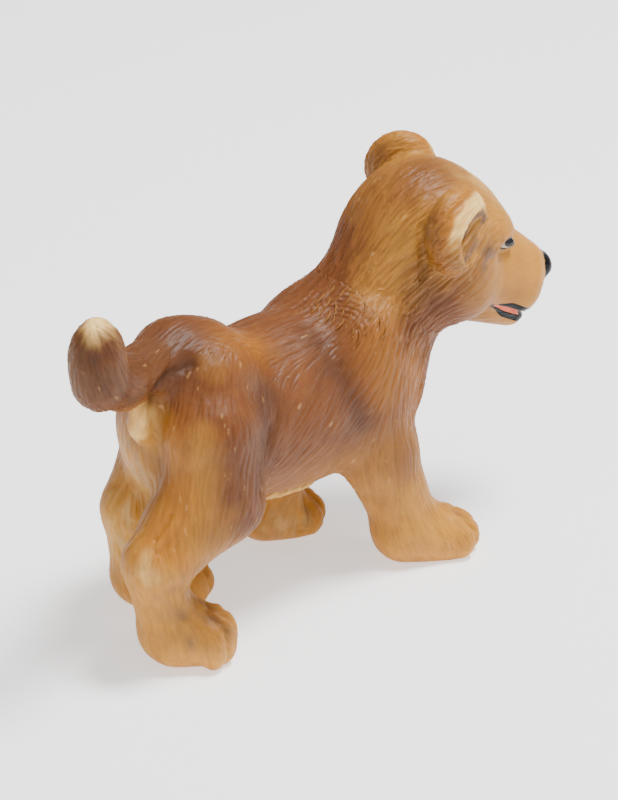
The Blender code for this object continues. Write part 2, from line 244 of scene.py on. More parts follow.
def clay(points: Array, lumps: Iterable[Lump]) -> Array:
    """Distances from points to a body of lumps that flow into each other.

    Args:
        points: Places, one a row.
        lumps: The lumps in the order in which they are added.

    Returns:
        One distance a point, negative inside the clay.
    """
    found = np.full(len(points), FAR_AWAY)
    for lump in lumps:
        near = np.flatnonzero(lump.near(points))
        if len(near):
            found[near] = smooth_min(found[near], lump.distance(points[near]), lump.blend)
    return found


def nearer(distance: Distance, host: Distance) -> Distance:
    """A field that is negative where a part is closer than what it grows from."""
    return lambda points: distance(points) - host(points) + SEAM_SHIFT


def grown(distance: Distance, edge: float) -> Distance:
    """A field that is negative on a form and as far past it as its paint runs."""
    return lambda points: distance(points) - edge


@dataclass(frozen=True)
class FurLine:
    """The way the hair lies around a line, and how deep it is cut."""

    start: Place
    end: Place
    reach: float
    depth: float


@dataclass(frozen=True)
class Spray:
    """One pass of the airbrush along a line."""

    start: Place
    end: Place
    radius: float
    strength: float = 1.0

    def cover(self, points: Array) -> Array:
        """Paint that the pass leaves on each point, from 0 to 1."""
        away = segment_distance(points, self.start, self.end) / self.radius
        return self.strength * np.exp(-away * away)


class Paint(Enum):
    """The colours that the maker sprays and brushes over the bare tan; some passes of them are painted
    highlight and painted shade, and umber is partly painted shade.
    """

    BROWN = "brown"
    UMBER = "umber"
    OCHRE = "ochre"
    CREAM = "cream"
    GREY = "grey"
    INK = "ink"


class Relief(Enum):
    """What the comb leaves on the skin for the finish to read: painted highlight on raised hair and painted
    shade in its valleys and creases, and scratches.
    """

    STRAND = "strand"
    SCRATCH = "scratch"


class Slot(Enum):
    """The places of the part that take a finish of their own."""

    TRUNK = "trunk_skin"
    HEAD = "head_skin"
    EAR = "ear_skin"
    LEG = "leg_skin"
    TAIL = "tail_skin"
    TUFT = "tuft_paint"
    EYE = "eye_paint"
    BLACK = "black_paint"
    TONGUE = "tongue_paint"


class Side(Enum):
    """The figure's own left and right."""

    LEFT = 1.0
    RIGHT = -1.0

    @property
    def word(self) -> str:
        """The side as the pieces' names have it."""
        return self.name.lower()


@dataclass
class Trunk:
    """Pelvis, barrel, chest and neck, which are painted as a chest and hindquarters that meet at the waist."""

    pelvis: Ball = Ball((-13.2, 0.7, 23.3), (7.4, 6.5, 9.6), 3.0)
    barrel: Ball = Ball((-1.6, 0.8, 19.7), (13.2, 7.4, 9.1), 3.0)
    core: Bone = Bone((-11.6, 0.8, 20.8), 7.7, (4.4, 0.8, 19.2), 7.7, 3.0)
    ribs: Ball = Ball((6.2, 0.6, 19.6), (7.5, 7.2, 8.2), 3.0)
    breast: Ball = Ball((9.7, 0.1, 18.2), (6.8, 5.7, 6.8), 3.0)
    neck: Bone = Bone((7.4, 1.0, 22.2), 7.35, (13.9, -0.2, 29.4), 6.1, 3.0)
    throat: Bone = Bone((9.8, 0.2, 20.4), 5.4, (15.1, -0.7, 27.4), 4.5, 2.0)
    right_blade: Ball = Ball((6.0, -4.4, 24.8), (3.0, 2.2, 4.0), 3.0)
    left_blade: Ball = Ball((6.0, 5.4, 23.4), (3.0, 2.0, 3.6), 3.0)
    right_hip_bone: Ball = Ball((-13.0, -3.4, 28.6), (3.2, 1.8, 2.0), 3.0)
    left_hip_bone: Ball = Ball((-12.0, 4.6, 27.4), (3.2, 1.8, 2.0), 3.0)
    pouch: Ball = Ball((-20.3, -0.5, 25.3), (2.0, 1.7, 2.7), 0.5)
    waist: float = 0.0

    def lumps(self) -> list[Lump]:
        """The lumps of the trunk in the order in which they are added."""
        return [
            self.pelvis, self.barrel, self.core, self.ribs, self.breast, self.neck, self.throat,
            self.right_blade, self.left_blade, self.right_hip_bone, self.left_hip_bone, self.pouch,
        ]

    def distance(self, points: Array) -> Array:
        """Distances from points to the trunk."""
        return clay(points, self.lumps())

    def build(self, bench: "Bench") -> Pieces:
        """Cut and dress the chest and the hindquarters, which together stand in for the trunk.

        Args:
            bench: The bench with what is left of the skin.

        Returns:
            The two pieces.
        """
        halves = {
            "chest": lambda points: self.waist - points[:, 0],
            "hindquarters": lambda points: points[:, 0] - self.waist,
        }
        return [
            bench.take("trunk", inside, Slot.TRUNK, bench.pvc, cap_depth=2.0, label=label)
            for label, inside in halves.items()
        ]


@dataclass
class Paw:
    """A broad paw with four rounded toes."""

    heel: Place
    toe: Place
    heel_radius: float
    toe_radius: float
    toe_height: float = 3.8
    blend: float = 1.6
    toe_count: int = 4
    toe_spread: float = 36.0
    toe_blend: float = 0.45
    toe_sink: float = 0.15
    pad_share: float = 0.92
    ring_share: float = 0.64
    ball_share: float = 0.44
    groove_share: float = 0.98
    groove_width: float = 0.4
    groove_depth: float = 0.45
    groove_lifts: tuple[float, ...] = (72, 52, 34, 16, -4, -26)

    def facing(self) -> float:
        """The way the paw points, in radians from the front."""
        ahead = np.subtract(self.toe, self.heel)[:2]
        return math.atan2(ahead[1], ahead[0])

    def lumps(self) -> list[Lump]:
        """Shape the pad and the toes.

        Returns:
            The lumps in the order in which they are added.
        """
        pad = Bone(self.heel, self.heel_radius, self.toe, self.toe_radius * self.pad_share, self.blend)
        made: list[Lump] = [pad]
        ring, size = self.ring_share * self.toe_radius, self.ball_share * self.toe_radius
        tall = self.toe_height / 2
        for count in range(self.toe_count):
            angle = self.facing() + math.radians(self.toe_spread) * (count - (self.toe_count - 1) / 2)
            across = (self.toe[0] + ring * math.cos(angle), self.toe[1] + ring * math.sin(angle))
            made.append(Ball((*across, tall - self.toe_sink), (size, size, tall), self.toe_blend))
        return made

    def grooves(self) -> list["Crease"]:
        """Run the grooves between the toes from the top of the paw down to the sole.

        Returns:
            Short creases, end to end along each groove.
        """
        made = []
        for count in range(1, self.toe_count):
            angle = self.facing() + math.radians(self.toe_spread) * (count - self.toe_count / 2)
            line = []
            for lift in map(math.radians, self.groove_lifts):
                out = self.groove_share * self.toe_radius * math.cos(lift)
                high = self.toe[2] + self.pad_share * self.toe_radius * math.sin(lift)
                line.append((self.toe[0] + out * math.cos(angle), self.toe[1] + out * math.sin(angle), high))
            made += [Crease(*ends, self.groove_width, self.groove_depth) for ends in zip(line, line[1:])]
        return made


@dataclass
class Leg:
    """What every leg has: a side, a paw and a seam where it leaves the trunk."""

    side: Side
    paw: Paw
    kind: ClassVar[str]

    def bones(self) -> list[Lump]:
        """The lumps of the leg above its paw, from the top down."""
        raise NotImplementedError

    def distance(self, points: Array) -> Array:
        """Distances from points to the leg."""
        return clay(points, self.bones() + self.paw.lumps())

    def build(self, bench: "Bench", trunk: Trunk) -> Pieces:
        """Cut the leg off along the crease where it is as close as the trunk, and dress it.

        Args:
            bench: The bench with what is left of the skin.
            trunk: The trunk that the leg stands under.

        Returns:
            The leg.
        """
        name = f"{self.side.word}_{self.kind}_leg"
        return [bench.take(name, nearer(self.distance, trunk.distance), Slot.LEG, bench.pvc, cap_depth=2.0)]


@dataclass
class HindLeg(Leg):
    """Thigh, ham, shank and paw of a hind leg."""

    hip: Place
    knee: Place
    ham: Place
    hock: Place
    hock_point: Place
    shank: Place
    kind: ClassVar[str] = "hind"
    hip_radius: float = 5.4
    knee_radius: float = 4.1
    ham_radius: float = 4.3
    hock_radius: float = 2.9
    hock_point_radius: float = 2.7
    shank_radius: float = 3.0

    def bones(self) -> list[Lump]:
        """The lumps of the leg from the hip down to the shank."""
        return [
            Bone(self.hip, self.hip_radius, self.knee, self.knee_radius, 2.5),
            Bone(self.ham, self.ham_radius, self.hock, self.hock_radius, 2.0),
            Bone(self.knee, self.knee_radius, self.hock, self.hock_radius, 2.0),
            Bone(self.hock_point, self.hock_point_radius, self.shank, self.shank_radius, 1.5),
        ]


@dataclass
class ForeLeg(Leg):
    """Shoulder, forearm and paw of a front leg."""

    shoulder: Place
    elbow: Place
    wrist: Place
    kind: ClassVar[str] = "front"
    shoulder_radius: float = 4.9
    elbow_radius: float = 4.0
    wrist_radius: float = 3.2

    def bones(self) -> list[Lump]:
        """The lumps of the leg from the shoulder down to the wrist."""
        return [
            Bone(self.shoulder, self.shoulder_radius, self.elbow, self.elbow_radius, 2.5),
            Bone(self.elbow, self.elbow_radius, self.wrist, self.wrist_radius, 1.5),
        ]


@dataclass
class Tail:
    """The tail from its root to the curled-up tuft."""

    root: Place = (-15.6, 1.3, 29.8)
    rear: Place = (-20.6, -0.2, 30.35)
    low: Place = (-24.6, -1.8, 31.25)
    bend: Place = (-27.9, -3.0, 32.9)
    tuft: Place = (-28.8, -3.4, 35.6)
    root_radius: float = 3.4
    radius: float = 2.4
    bend_radius: float = 2.6
    tuft_half: Place = (2.8, 2.8, 4.5)
    blend: float = 1.5
    tip_seam_height: float = 33.1
    tip_seam_front: float = -22.0

    def lumps(self) -> list[Lump]:
        """The lumps of the tail."""
        return [
            Bone(self.root, self.root_radius, self.rear, self.radius, self.blend),
            Bone(self.rear, self.radius, self.low, self.radius, self.blend),
            Bone(self.low, self.radius, self.bend, self.bend_radius, self.blend),
            Ball(self.tuft, self.tuft_half, self.blend),
        ]

    def distance(self, points: Array) -> Array:
        """Distances from points to the tail."""
        return clay(points, self.lumps())

    def tip_field(self, points: Array) -> Array:
        """Negative on the tuft, above a level seam."""
        return np.maximum(self.tip_seam_height - points[:, 2], points[:, 0] - self.tip_seam_front)

    def build(self, bench: "Bench", trunk: Trunk) -> Pieces:
        """Cut and dress the tuft and the tail.

        Args:
            bench: The bench with what is left of the skin.
            trunk: The trunk that the tail grows from.

        Returns:
            The two pieces.
        """
        return [
            bench.take("tail_tip", self.tip_field, Slot.TUFT, bench.pvc, cap_depth=1.0),
            bench.take("tail", nearer(self.distance, trunk.distance), Slot.TAIL, bench.pvc, cap_depth=1.5),
        ]


@dataclass(frozen=True)
class HeadLump:
    """A ball of clay in the head's own frame: its middle, its half sizes and its fillet."""

    place: Place
    half: Place
    blend: float


@dataclass
class Head:
    """Skull, face, mouth and ears, in a frame of their own that looks along the nose."""

    middle: Place = (18.2, -0.9, 32.4)
    axes: Array = field(default_factory=lambda: turn(-19, -15, 6))
    skull: HeadLump = HeadLump((-1.0, 0, 0.35), (7.4, 7.5, 7.55), 2.5)
    nape: HeadLump = HeadLump((-2.2, 0, -2.3), (6.4, 7.2, 6.2), 2.5)
    forehead: HeadLump = HeadLump((3.2, 0, 1.8), (4.2, 4.8, 3.8), 2.0)
    bridge: Bone = Bone((3.6, 0, -0.4), 4.2, (11.4, 0, -3.1), 3.0, 1.8)
    cheek: HeadLump = HeadLump((2.0, 4.3, -3.2), (4.7, 3.5, 4.3), 2.0)
    muzzle_pad: Bone = Bone((7.6, 1.8, -3.6), 3.1, (10.9, 1.8, -4.7), 2.65, 1.6)
    brow: HeadLump = HeadLump((5.2, 3.0, 2.5), (2.0, 1.8, 1.2), 2.2)
    jaw: Bone = Bone((4.0, 1.5, -6.0), 2.5, (11.4, 0.8, -7.6), 1.9, 0.8)
    jaw_rear: float = 4.5
    nose_pad: HeadLump = HeadLump((13.6, 0, -2.75), (1.7, 2.0, 1.55), 0.4)
    nostril: HeadLump = HeadLump((14.8, 1.1, -3.4), (0.6, 0.45, 0.4), 0.5)
    eye_socket: HeadLump = HeadLump((7.3, 4.6, 1.2), (1.7, 1.1, 1.1), 1.0)
    eye: HeadLump = HeadLump((6.9, 3.3, 1.2), (1.15, 0.55, 0.62), 0.25)
    mouth_corner: Place = (7.6, 0.0, -5.65)
    mouth_slope: float = -0.32
    mouth_half: float = 0.42
    mouth_depth: float = 0.35
    mouth_front: float = 12.0
    mouth_edge_blend: float = 0.5
    mouth_corner_share: float = 0.35
    mouth_opens_over: float = 2.2
    lip: float = 0.8
    lip_overlap: float = 0.4
    head_reach: float = 20.0
    right_ear_place: Place = (-1.4, 6.8, 4.1)
    left_ear_place: Place = (-1.5, 6.8, 4.1)
    right_ear_half: Place = (2.2, 4.2, 4.4)
    left_ear_half: Place = (2.2, 3.6, 4.2)
    ear_hollow_half: Place = (2.2, 3.8, 3.0)
    ear_hollow_shift: Place = (2.0, -2.5, -0.9)
    ear_edge_blend: float = 0.9
    ear_root_blend: float = 1.0
    ear_yaw: float = 66.0
    ear_pitch: float = 16.0
    neck_seam: Place = (15.0, -0.5, 28.6)
    neck_axes: Array = field(default_factory=lambda: turn(-10, 28))
    paint_edge: float = 0.15

    def world(self, place: Place, side: Side = Side.LEFT) -> Place:
        """A place in the head as a place on the figure, mirrored for the right side."""
        local = np.array((place[0], side.value * place[1], place[2]))
        return tuple(np.array(self.middle) + self.axes @ local)

    def local(self, points: Array) -> Array:
        """Points in the head's own frame."""
        return (points - np.array(self.middle)) @ self.axes

    def ball(self, lump: HeadLump, side: Side = Side.LEFT) -> Ball:
        """A ball of the head, turned with it."""
        return Ball(self.world(lump.place, side), lump.half, lump.blend, self.axes)

    def bone(self, lump: Bone, side: Side = Side.LEFT) -> Bone:
        """A round section of the head, turned with it."""
        start, end = self.world(lump.start, side), self.world(lump.end, side)
        return Bone(start, lump.start_radius, end, lump.end_radius, lump.blend)

    def lumps(self) -> list[Lump]:
        """Skull, bridge of the nose, cheeks, muzzle pads, brows, chin and nose pad.

        Returns:
            The lumps in the order in which they are added.
        """
        made: list[Lump] = [self.ball(lump) for lump in (self.skull, self.nape, self.forehead)]
        made.append(self.bone(self.bridge))
        for side in Side:
            made += [self.ball(self.cheek, side), self.bone(self.muzzle_pad, side), self.ball(self.brow, side)]
        made += [self.bone(self.jaw, side) for side in Side]
        return made + [self.ball(self.nose_pad)]

    def ear_frame(self, side: Side) -> tuple[Array, Array, Array]:
        """Find where an ear's cup, which faces forwards and out, lies.

        Args:
            side: Which ear.

        Returns:
            Its axes, its middle on the figure, and the middle of its hollow in its own frame.
        """
        axes = self.axes @ turn(side.value * self.ear_yaw, self.ear_pitch)
        centre = self.world(self.left_ear_place if side is Side.LEFT else self.right_ear_place, side)
        ahead, across, up = self.ear_hollow_shift
        return axes, np.array(centre), np.array((ahead, side.value * across, up))

    def ear_distance(self, points: Array, side: Side) -> Array:
        """Distances from points to one cupped ear.

        Args:
            points: Places, one a row.
            side: Which ear.

        Returns:
            One distance a point.
        """
        axes, centre, shift = self.ear_frame(side)
        found = np.full(len(points), FAR_AWAY)
        outer = Ball(tuple(centre), self.left_ear_half if side is Side.LEFT else self.right_ear_half, 1.0, axes)
        hollow = Ball(tuple(centre + axes @ shift), self.ear_hollow_half, 1.0, axes)
        near = np.flatnonzero(outer.near(points))
        close = points[near]
        found[near] = smooth_max(outer.distance(close), -hollow.distance(close), self.ear_edge_blend)
        return found

    def ear_paint(self, points: Array, side: Side) -> tuple[Array, Array, Array]:
        """Find the pale rim of an ear, the stained edge of that rim and the shaded inside.

        Args:
            points: Places, one a row.
            side: Which ear.

        Returns:
            Shares from 0 to 1 of the rim, of its edge and of the inside.
        """
        axes, centre, shift = self.ear_frame(side)
        local = (points - centre) @ axes
        inside = Ball(tuple(shift), self.ear_hollow_half).distance(local)
        away = self.ear_distance(points, side)
        # The rim is the front face of the cup, palest above the lobe. A pair of numbers is where the brush's
        # cover starts and ends, in millimetres from the ear, from its hollow, ahead of its middle or above it.
        on_ear = smooth_step(0.35, 0.0, away)
        rim = on_ear * smooth_step(2.6, 1.6, inside) * smooth_step(-0.8, 0.6, local[:, 0])
        rim *= smooth_step(-0.1, 0.4, inside)
        rim *= 0.1 + 0.78 * smooth_step(-2.4, 0.4, local[:, 2])
        edge = on_ear * smooth_step(3.4, 2.4, inside) * smooth_step(1.1, 2.0, inside)
        edge *= smooth_step(-1.2, 0.2, local[:, 0])
        return rim, edge, smooth_step(0.9, 0.0, away) * smooth_step(0.9, 0.0, inside)

    def eye_line(self, points: Array, side: Side) -> Array:
        """Where the black line along the upper lid runs, from 0 to 1."""
        above = smooth_step(-0.3, 0.2, self.local(points)[:, 2] - self.eye.place[2])
        return smooth_step(0.42, 0.18, self.ball(self.eye, side).distance(points)) * above

    def distance(self, points: Array) -> Array:
        """Distances from points to the head with its ears, eyes, nose pad and open mouth.

        Args:
            points: Places, one a row.

        Returns:
            One distance a point.
        """
        found = clay(points, self.lumps())
        near = np.flatnonzero(found < LUMP_MARGIN)
        close, part = points[near], found[near]
        local = self.local(close)
        for side in Side:
            socket, eye, nostril = (self.ball(lump, side) for lump in (self.eye_socket, self.eye, self.nostril))
            part = smooth_max(part, -socket.distance(close), socket.blend)
            part = smooth_min(part, eye.distance(close), eye.blend)
            part = smooth_max(part, -nostril.distance(close), nostril.blend)
        level = np.abs(self.mouth_level(local)) - self.mouth_half * self.mouth_taper(local)
        level = smooth_max(level, self.mouth_corner[0] - local[:, 0], self.mouth_edge_blend)
        # The mouth is pressed in from the surface, and leaves what lies deeper in the head alone.
        part = part + self.mouth_depth * smooth_step(0.12, -0.25, level) * smooth_step(-2.0, -0.5, part)
        found[near] = part
        for side in Side:
            found = smooth_min(found, self.ear_distance(points, side), self.ear_root_blend)
        return found

    def mouth_level(self, local: Array) -> Array:
        """Height above the middle line of the mouth, which slopes down to the front."""
        return local[:, 2] - self.mouth_corner[2] - self.mouth_slope * (local[:, 0] - self.mouth_corner[0])

    def mouth_taper(self, local: Array) -> Array:
        """How open the mouth is, from a third at its corner to 1 further on."""
        opened = smooth_step(0.0, self.mouth_opens_over, local[:, 0] - self.mouth_corner[0])
        return self.mouth_corner_share + (1 - self.mouth_corner_share) * opened

    def band(self, points: Array, low: float, high: float, rear: float) -> Array:
        """Describe a band across the muzzle, along the mouth.

        Args:
            points: Places, one a row.
            low: The band's lower edge, as a height about the mouth's middle line.
            high: Its upper edge.
            rear: Where it ends at the back.

        Returns:
            A field that is negative on the band.
        """
        local = self.local(points)
        taper = self.mouth_taper(local)
        level = np.abs(self.mouth_level(local) - taper * (low + high) / 2) - taper * (high - low) / 2
        past_head = np.linalg.norm(local, axis=1) - self.head_reach
        return np.maximum(np.maximum(level, rear - local[:, 0]), past_head)

    def tongue_field(self, points: Array) -> Array:
        """Negative on the pink that shows in the mouth."""
        inner = self.band(points, -self.mouth_half, self.mouth_half, self.mouth_corner[0])
        return np.maximum(inner, self.local(points)[:, 0] - self.mouth_front)

    def upper_lip_field(self, points: Array) -> Array:
        """Negative on the black upper lip."""
        return self.band(points, 0.0, self.mouth_half + self.lip, self.mouth_corner[0] + self.lip_overlap)

    def lower_lip_field(self, points: Array) -> Array:
        """Negative on the black lower lip, which reaches up to the upper one at the front."""
        low = -self.mouth_half - self.lip
        return self.band(points, low, self.mouth_half, self.mouth_corner[0] - self.lip_overlap)

    def jaw_field(self, points: Array) -> Array:
        """Negative on the lower jaw."""
        return self.band(points, -self.head_reach, 0.0, self.jaw_rear)

    def neck_field(self, points: Array) -> Array:
        """Negative in front of the seam across the neck."""
        return -((points - np.array(self.neck_seam)) @ self.neck_axes[:, 0])

    def build(self, bench: "Bench") -> Pieces:
        """Cut and dress the eyes, ears, nose pad, tongue, lips and lower jaw, and then the head that is left.

        Args:
            bench: The bench with what is left of the skin.

        Returns:
            The pieces in the order in which they are cut.
        """
        made, skull = [], self.lumps()
        for side in Side:
            eye, enamel = self.ball(self.eye, side), EyeEnamel(f"{side.word}_eye_enamel", side).build(self)
            painted = grown(eye.distance, self.paint_edge)
            made.append(bench.take(f"{side.word}_eye", painted, Slot.EYE, enamel, cap_depth=0.3))
            ear = nearer(partial(self.ear_distance, side=side), partial(clay, lumps=skull))
            made.append(bench.take(f"{side.word}_ear", ear, Slot.EAR, bench.pvc, cap_depth=0.8))
        pad = grown(self.ball(self.nose_pad).distance, self.paint_edge)
        return made + [
            bench.take("nose_pad", pad, Slot.BLACK, bench.black, cap_depth=0.4),
            bench.take("tongue", self.tongue_field, Slot.TONGUE, bench.salmon, cap_depth=0.4),
            bench.take("upper_lip", self.upper_lip_field, Slot.BLACK, bench.black, cap_depth=0.3),
            bench.take("lower_lip", self.lower_lip_field, Slot.BLACK, bench.black, cap_depth=0.3),
            bench.take("lower_jaw", self.jaw_field, Slot.HEAD, bench.pvc, cap_depth=1.0),
            bench.take("head", self.neck_field, Slot.HEAD, bench.pvc, cap_depth=2.0),
        ]


LEGS = (
    HindLeg(
        Side.RIGHT,
        Paw((-20.3, -4.6, 3.1), (-18.7, -6.2, 2.8), 3.6, 3.5, 5.2),
        hip=(-15.1, -3.4, 23.0),
        knee=(-14.8, -4.9, 16.0),
        ham=(-16.6, -4.0, 18.0),
        hock=(-22.4, -4.6, 11.8),
        hock_point=(-23.2, -4.2, 11.6),
        shank=(-20.8, -4.0, 4.0),
    ),
    HindLeg(
        Side.LEFT,
        Paw((-15.2, 5.7, 3.1), (-12.2, 4.2, 2.3), 3.2, 3.4, 4.0),
        hip=(-12.4, 3.8, 22.0),
        knee=(-10.5, 5.7, 16.0),
        ham=(-12.9, 4.9, 18.0),
        hock=(-16.2, 5.6, 11.8),
        hock_point=(-17.0, 5.8, 11.2),
        shank=(-15.6, 5.8, 4.0),
    ),
    ForeLeg(
        Side.RIGHT,
        Paw((10.2, -5.7, 2.9), (14.1, -7.7, 1.9), 3.3, 3.4),
        shoulder=(6.1, -2.6, 20.0),
        elbow=(7.7, -3.95, 13.0),
        wrist=(10.3, -5.5, 4.8),
    ),
    ForeLeg(
        Side.LEFT,
        Paw((2.9, 7.4, 2.9), (5.8, 6.5, 2.0), 3.3, 3.4),
        shoulder=(5.6, 4.6, 20.0),
        elbow=(5.0, 6.0, 13.0),
        wrist=(2.4, 6.9, 4.5),
    ),
)


@dataclass
class Cub:
    """The whole figure: its sub-assemblies, and how softly they flow into each other."""

    trunk: Trunk = field(default_factory=Trunk)
    head: Head = field(default_factory=Head)
    tail: Tail = field(default_factory=Tail)
    legs: tuple[Leg, ...] = LEGS
    leg_blend: float = 1.3
    tail_blend: float = 2.0
    head_blend: float = 2.2

    def distance(self, points: Array) -> Array:
        """Distances from points to the smooth figure, cut flat at the soles.

        Args:
            points: Places, one a row.

        Returns:
            One distance a point.
        """
        found = smooth_min(self.trunk.distance(points), self.tail.distance(points), self.tail_blend)
        for leg in self.legs:
            found = smooth_min(found, leg.distance(points), self.leg_blend)
        found = smooth_min(found, self.head.distance(points), self.head_blend)
        return np.maximum(found, -points[:, 2])

    def slopes(self, points: Array) -> Array:
        """Work out how the distance changes along each axis.

        Args:
            points: Places, one a row.

        Returns:
            One slope vector a point.
        """
        found, here = np.empty_like(points), self.distance(points)
        for axis in range(3):
            step = np.zeros(3)
            step[axis] = GRADIENT_STEP
            found[:, axis] = self.distance(points + step) - here
        return found / GRADIENT_STEP


CORNERS = [(x, y, z) for x in (0, 1) for y in (0, 1) for z in (0, 1)]
CELL_EDGES = [(0, 1), (2, 3), (4, 5), (6, 7), (0, 2), (1, 3), (4, 6), (5, 7), (0, 4), (1, 5), (2, 6), (3, 7)]


def surface_nets(values: Array, low: Array, cell: float) -> tuple[Array, Array]:
    """Lay a mesh of four-sided faces over the zero level of a grid of distances.

    Args:
        values: Distances on a regular grid.
        low: The place of the grid's first corner.
        cell: The grid's spacing.

    Returns:
        The points and the four-sided faces, which face out.
    """
    inside = values < 0
    count = np.zeros(tuple(size - 1 for size in values.shape), np.int8)
    for x, y, z in CORNERS:
        count += inside[x : inside.shape[0] - 1 + x, y : inside.shape[1] - 1 + y, z : inside.shape[2] - 1 + z]
    cells = np.argwhere((count > 0) & (count < 8))
    index = np.full(count.shape, -1, np.int64)
    index[tuple(cells.T)] = np.arange(len(cells))
    total, crossings = np.zeros((len(cells), 3)), np.zeros(len(cells))
    at_corner = [values[cells[:, 0] + x, cells[:, 1] + y, cells[:, 2] + z].astype(float) for x, y, z in CORNERS]
    for first, second in CELL_EDGES:
        crossed = (at_corner[first] < 0) != (at_corner[second] < 0)
        drop = np.where(crossed, at_corner[first] - at_corner[second], 1)
        share = np.where(crossed, at_corner[first] / drop, 0)
        start, along = np.array(CORNERS[first], float), np.subtract(CORNERS[second], CORNERS[first])
        total += np.where(crossed[:, None], start + share[:, None] * along, 0)
        crossings += crossed
    points = (cells + total / crossings[:, None]) * cell + low
    faces = []
    for axis in range(3):
        across, up = (axis + 1) % 3, (axis + 2) % 3
        before, after = [slice(None)] * 3, [slice(None)] * 3
        before[axis], after[axis] = slice(0, -1), slice(1, None)
        edges = np.argwhere(inside[tuple(before)] != inside[tuple(after)])
        ring = []
        for step_across, step_up in ((1, 1), (0, 1), (0, 0), (1, 0)):
            at = edges.copy()
            at[:, across] -= step_across
            at[:, up] -= step_up
            ring.append(index[tuple(at.T)])
        found = np.stack(ring, 1)
        outwards = inside[tuple(edges.T)]
        found[~outwards] = found[~outwards][:, ::-1]
        faces.append(found)
    return points, np.concatenate(faces)


def sample_near_surface(distance: Distance, low: Array, high: Array, cell: float) -> Array:
    """Distances on a grid, worked out finely only where the surface is close.

    Args:
        distance: The field.
        low: The lowest corner.
        high: The highest corner.
        cell: The fine spacing.

    Returns:
        The grid of distances.
    """
    blocks = np.ceil((high - low) / (cell * COARSE_STEP)).astype(int) + 1
    block = np.stack(np.meshgrid(*(np.arange(size) for size in blocks), indexing="ij"), -1).reshape(-1, 3)
    middle = (block + 0.5) * COARSE_STEP - 0.5
    coarse = distance(low + middle * cell).reshape(blocks)
    values = coarse.astype(np.float32)
    near = np.abs(coarse) < cell * COARSE_STEP * NEAR_SHARE
    for axis in range(3):
        values = np.repeat(values, COARSE_STEP, axis)
        near = np.repeat(near, COARSE_STEP, axis)
    wanted = np.argwhere(near)
    values[near] = distance(low + wanted * cell)
    return values


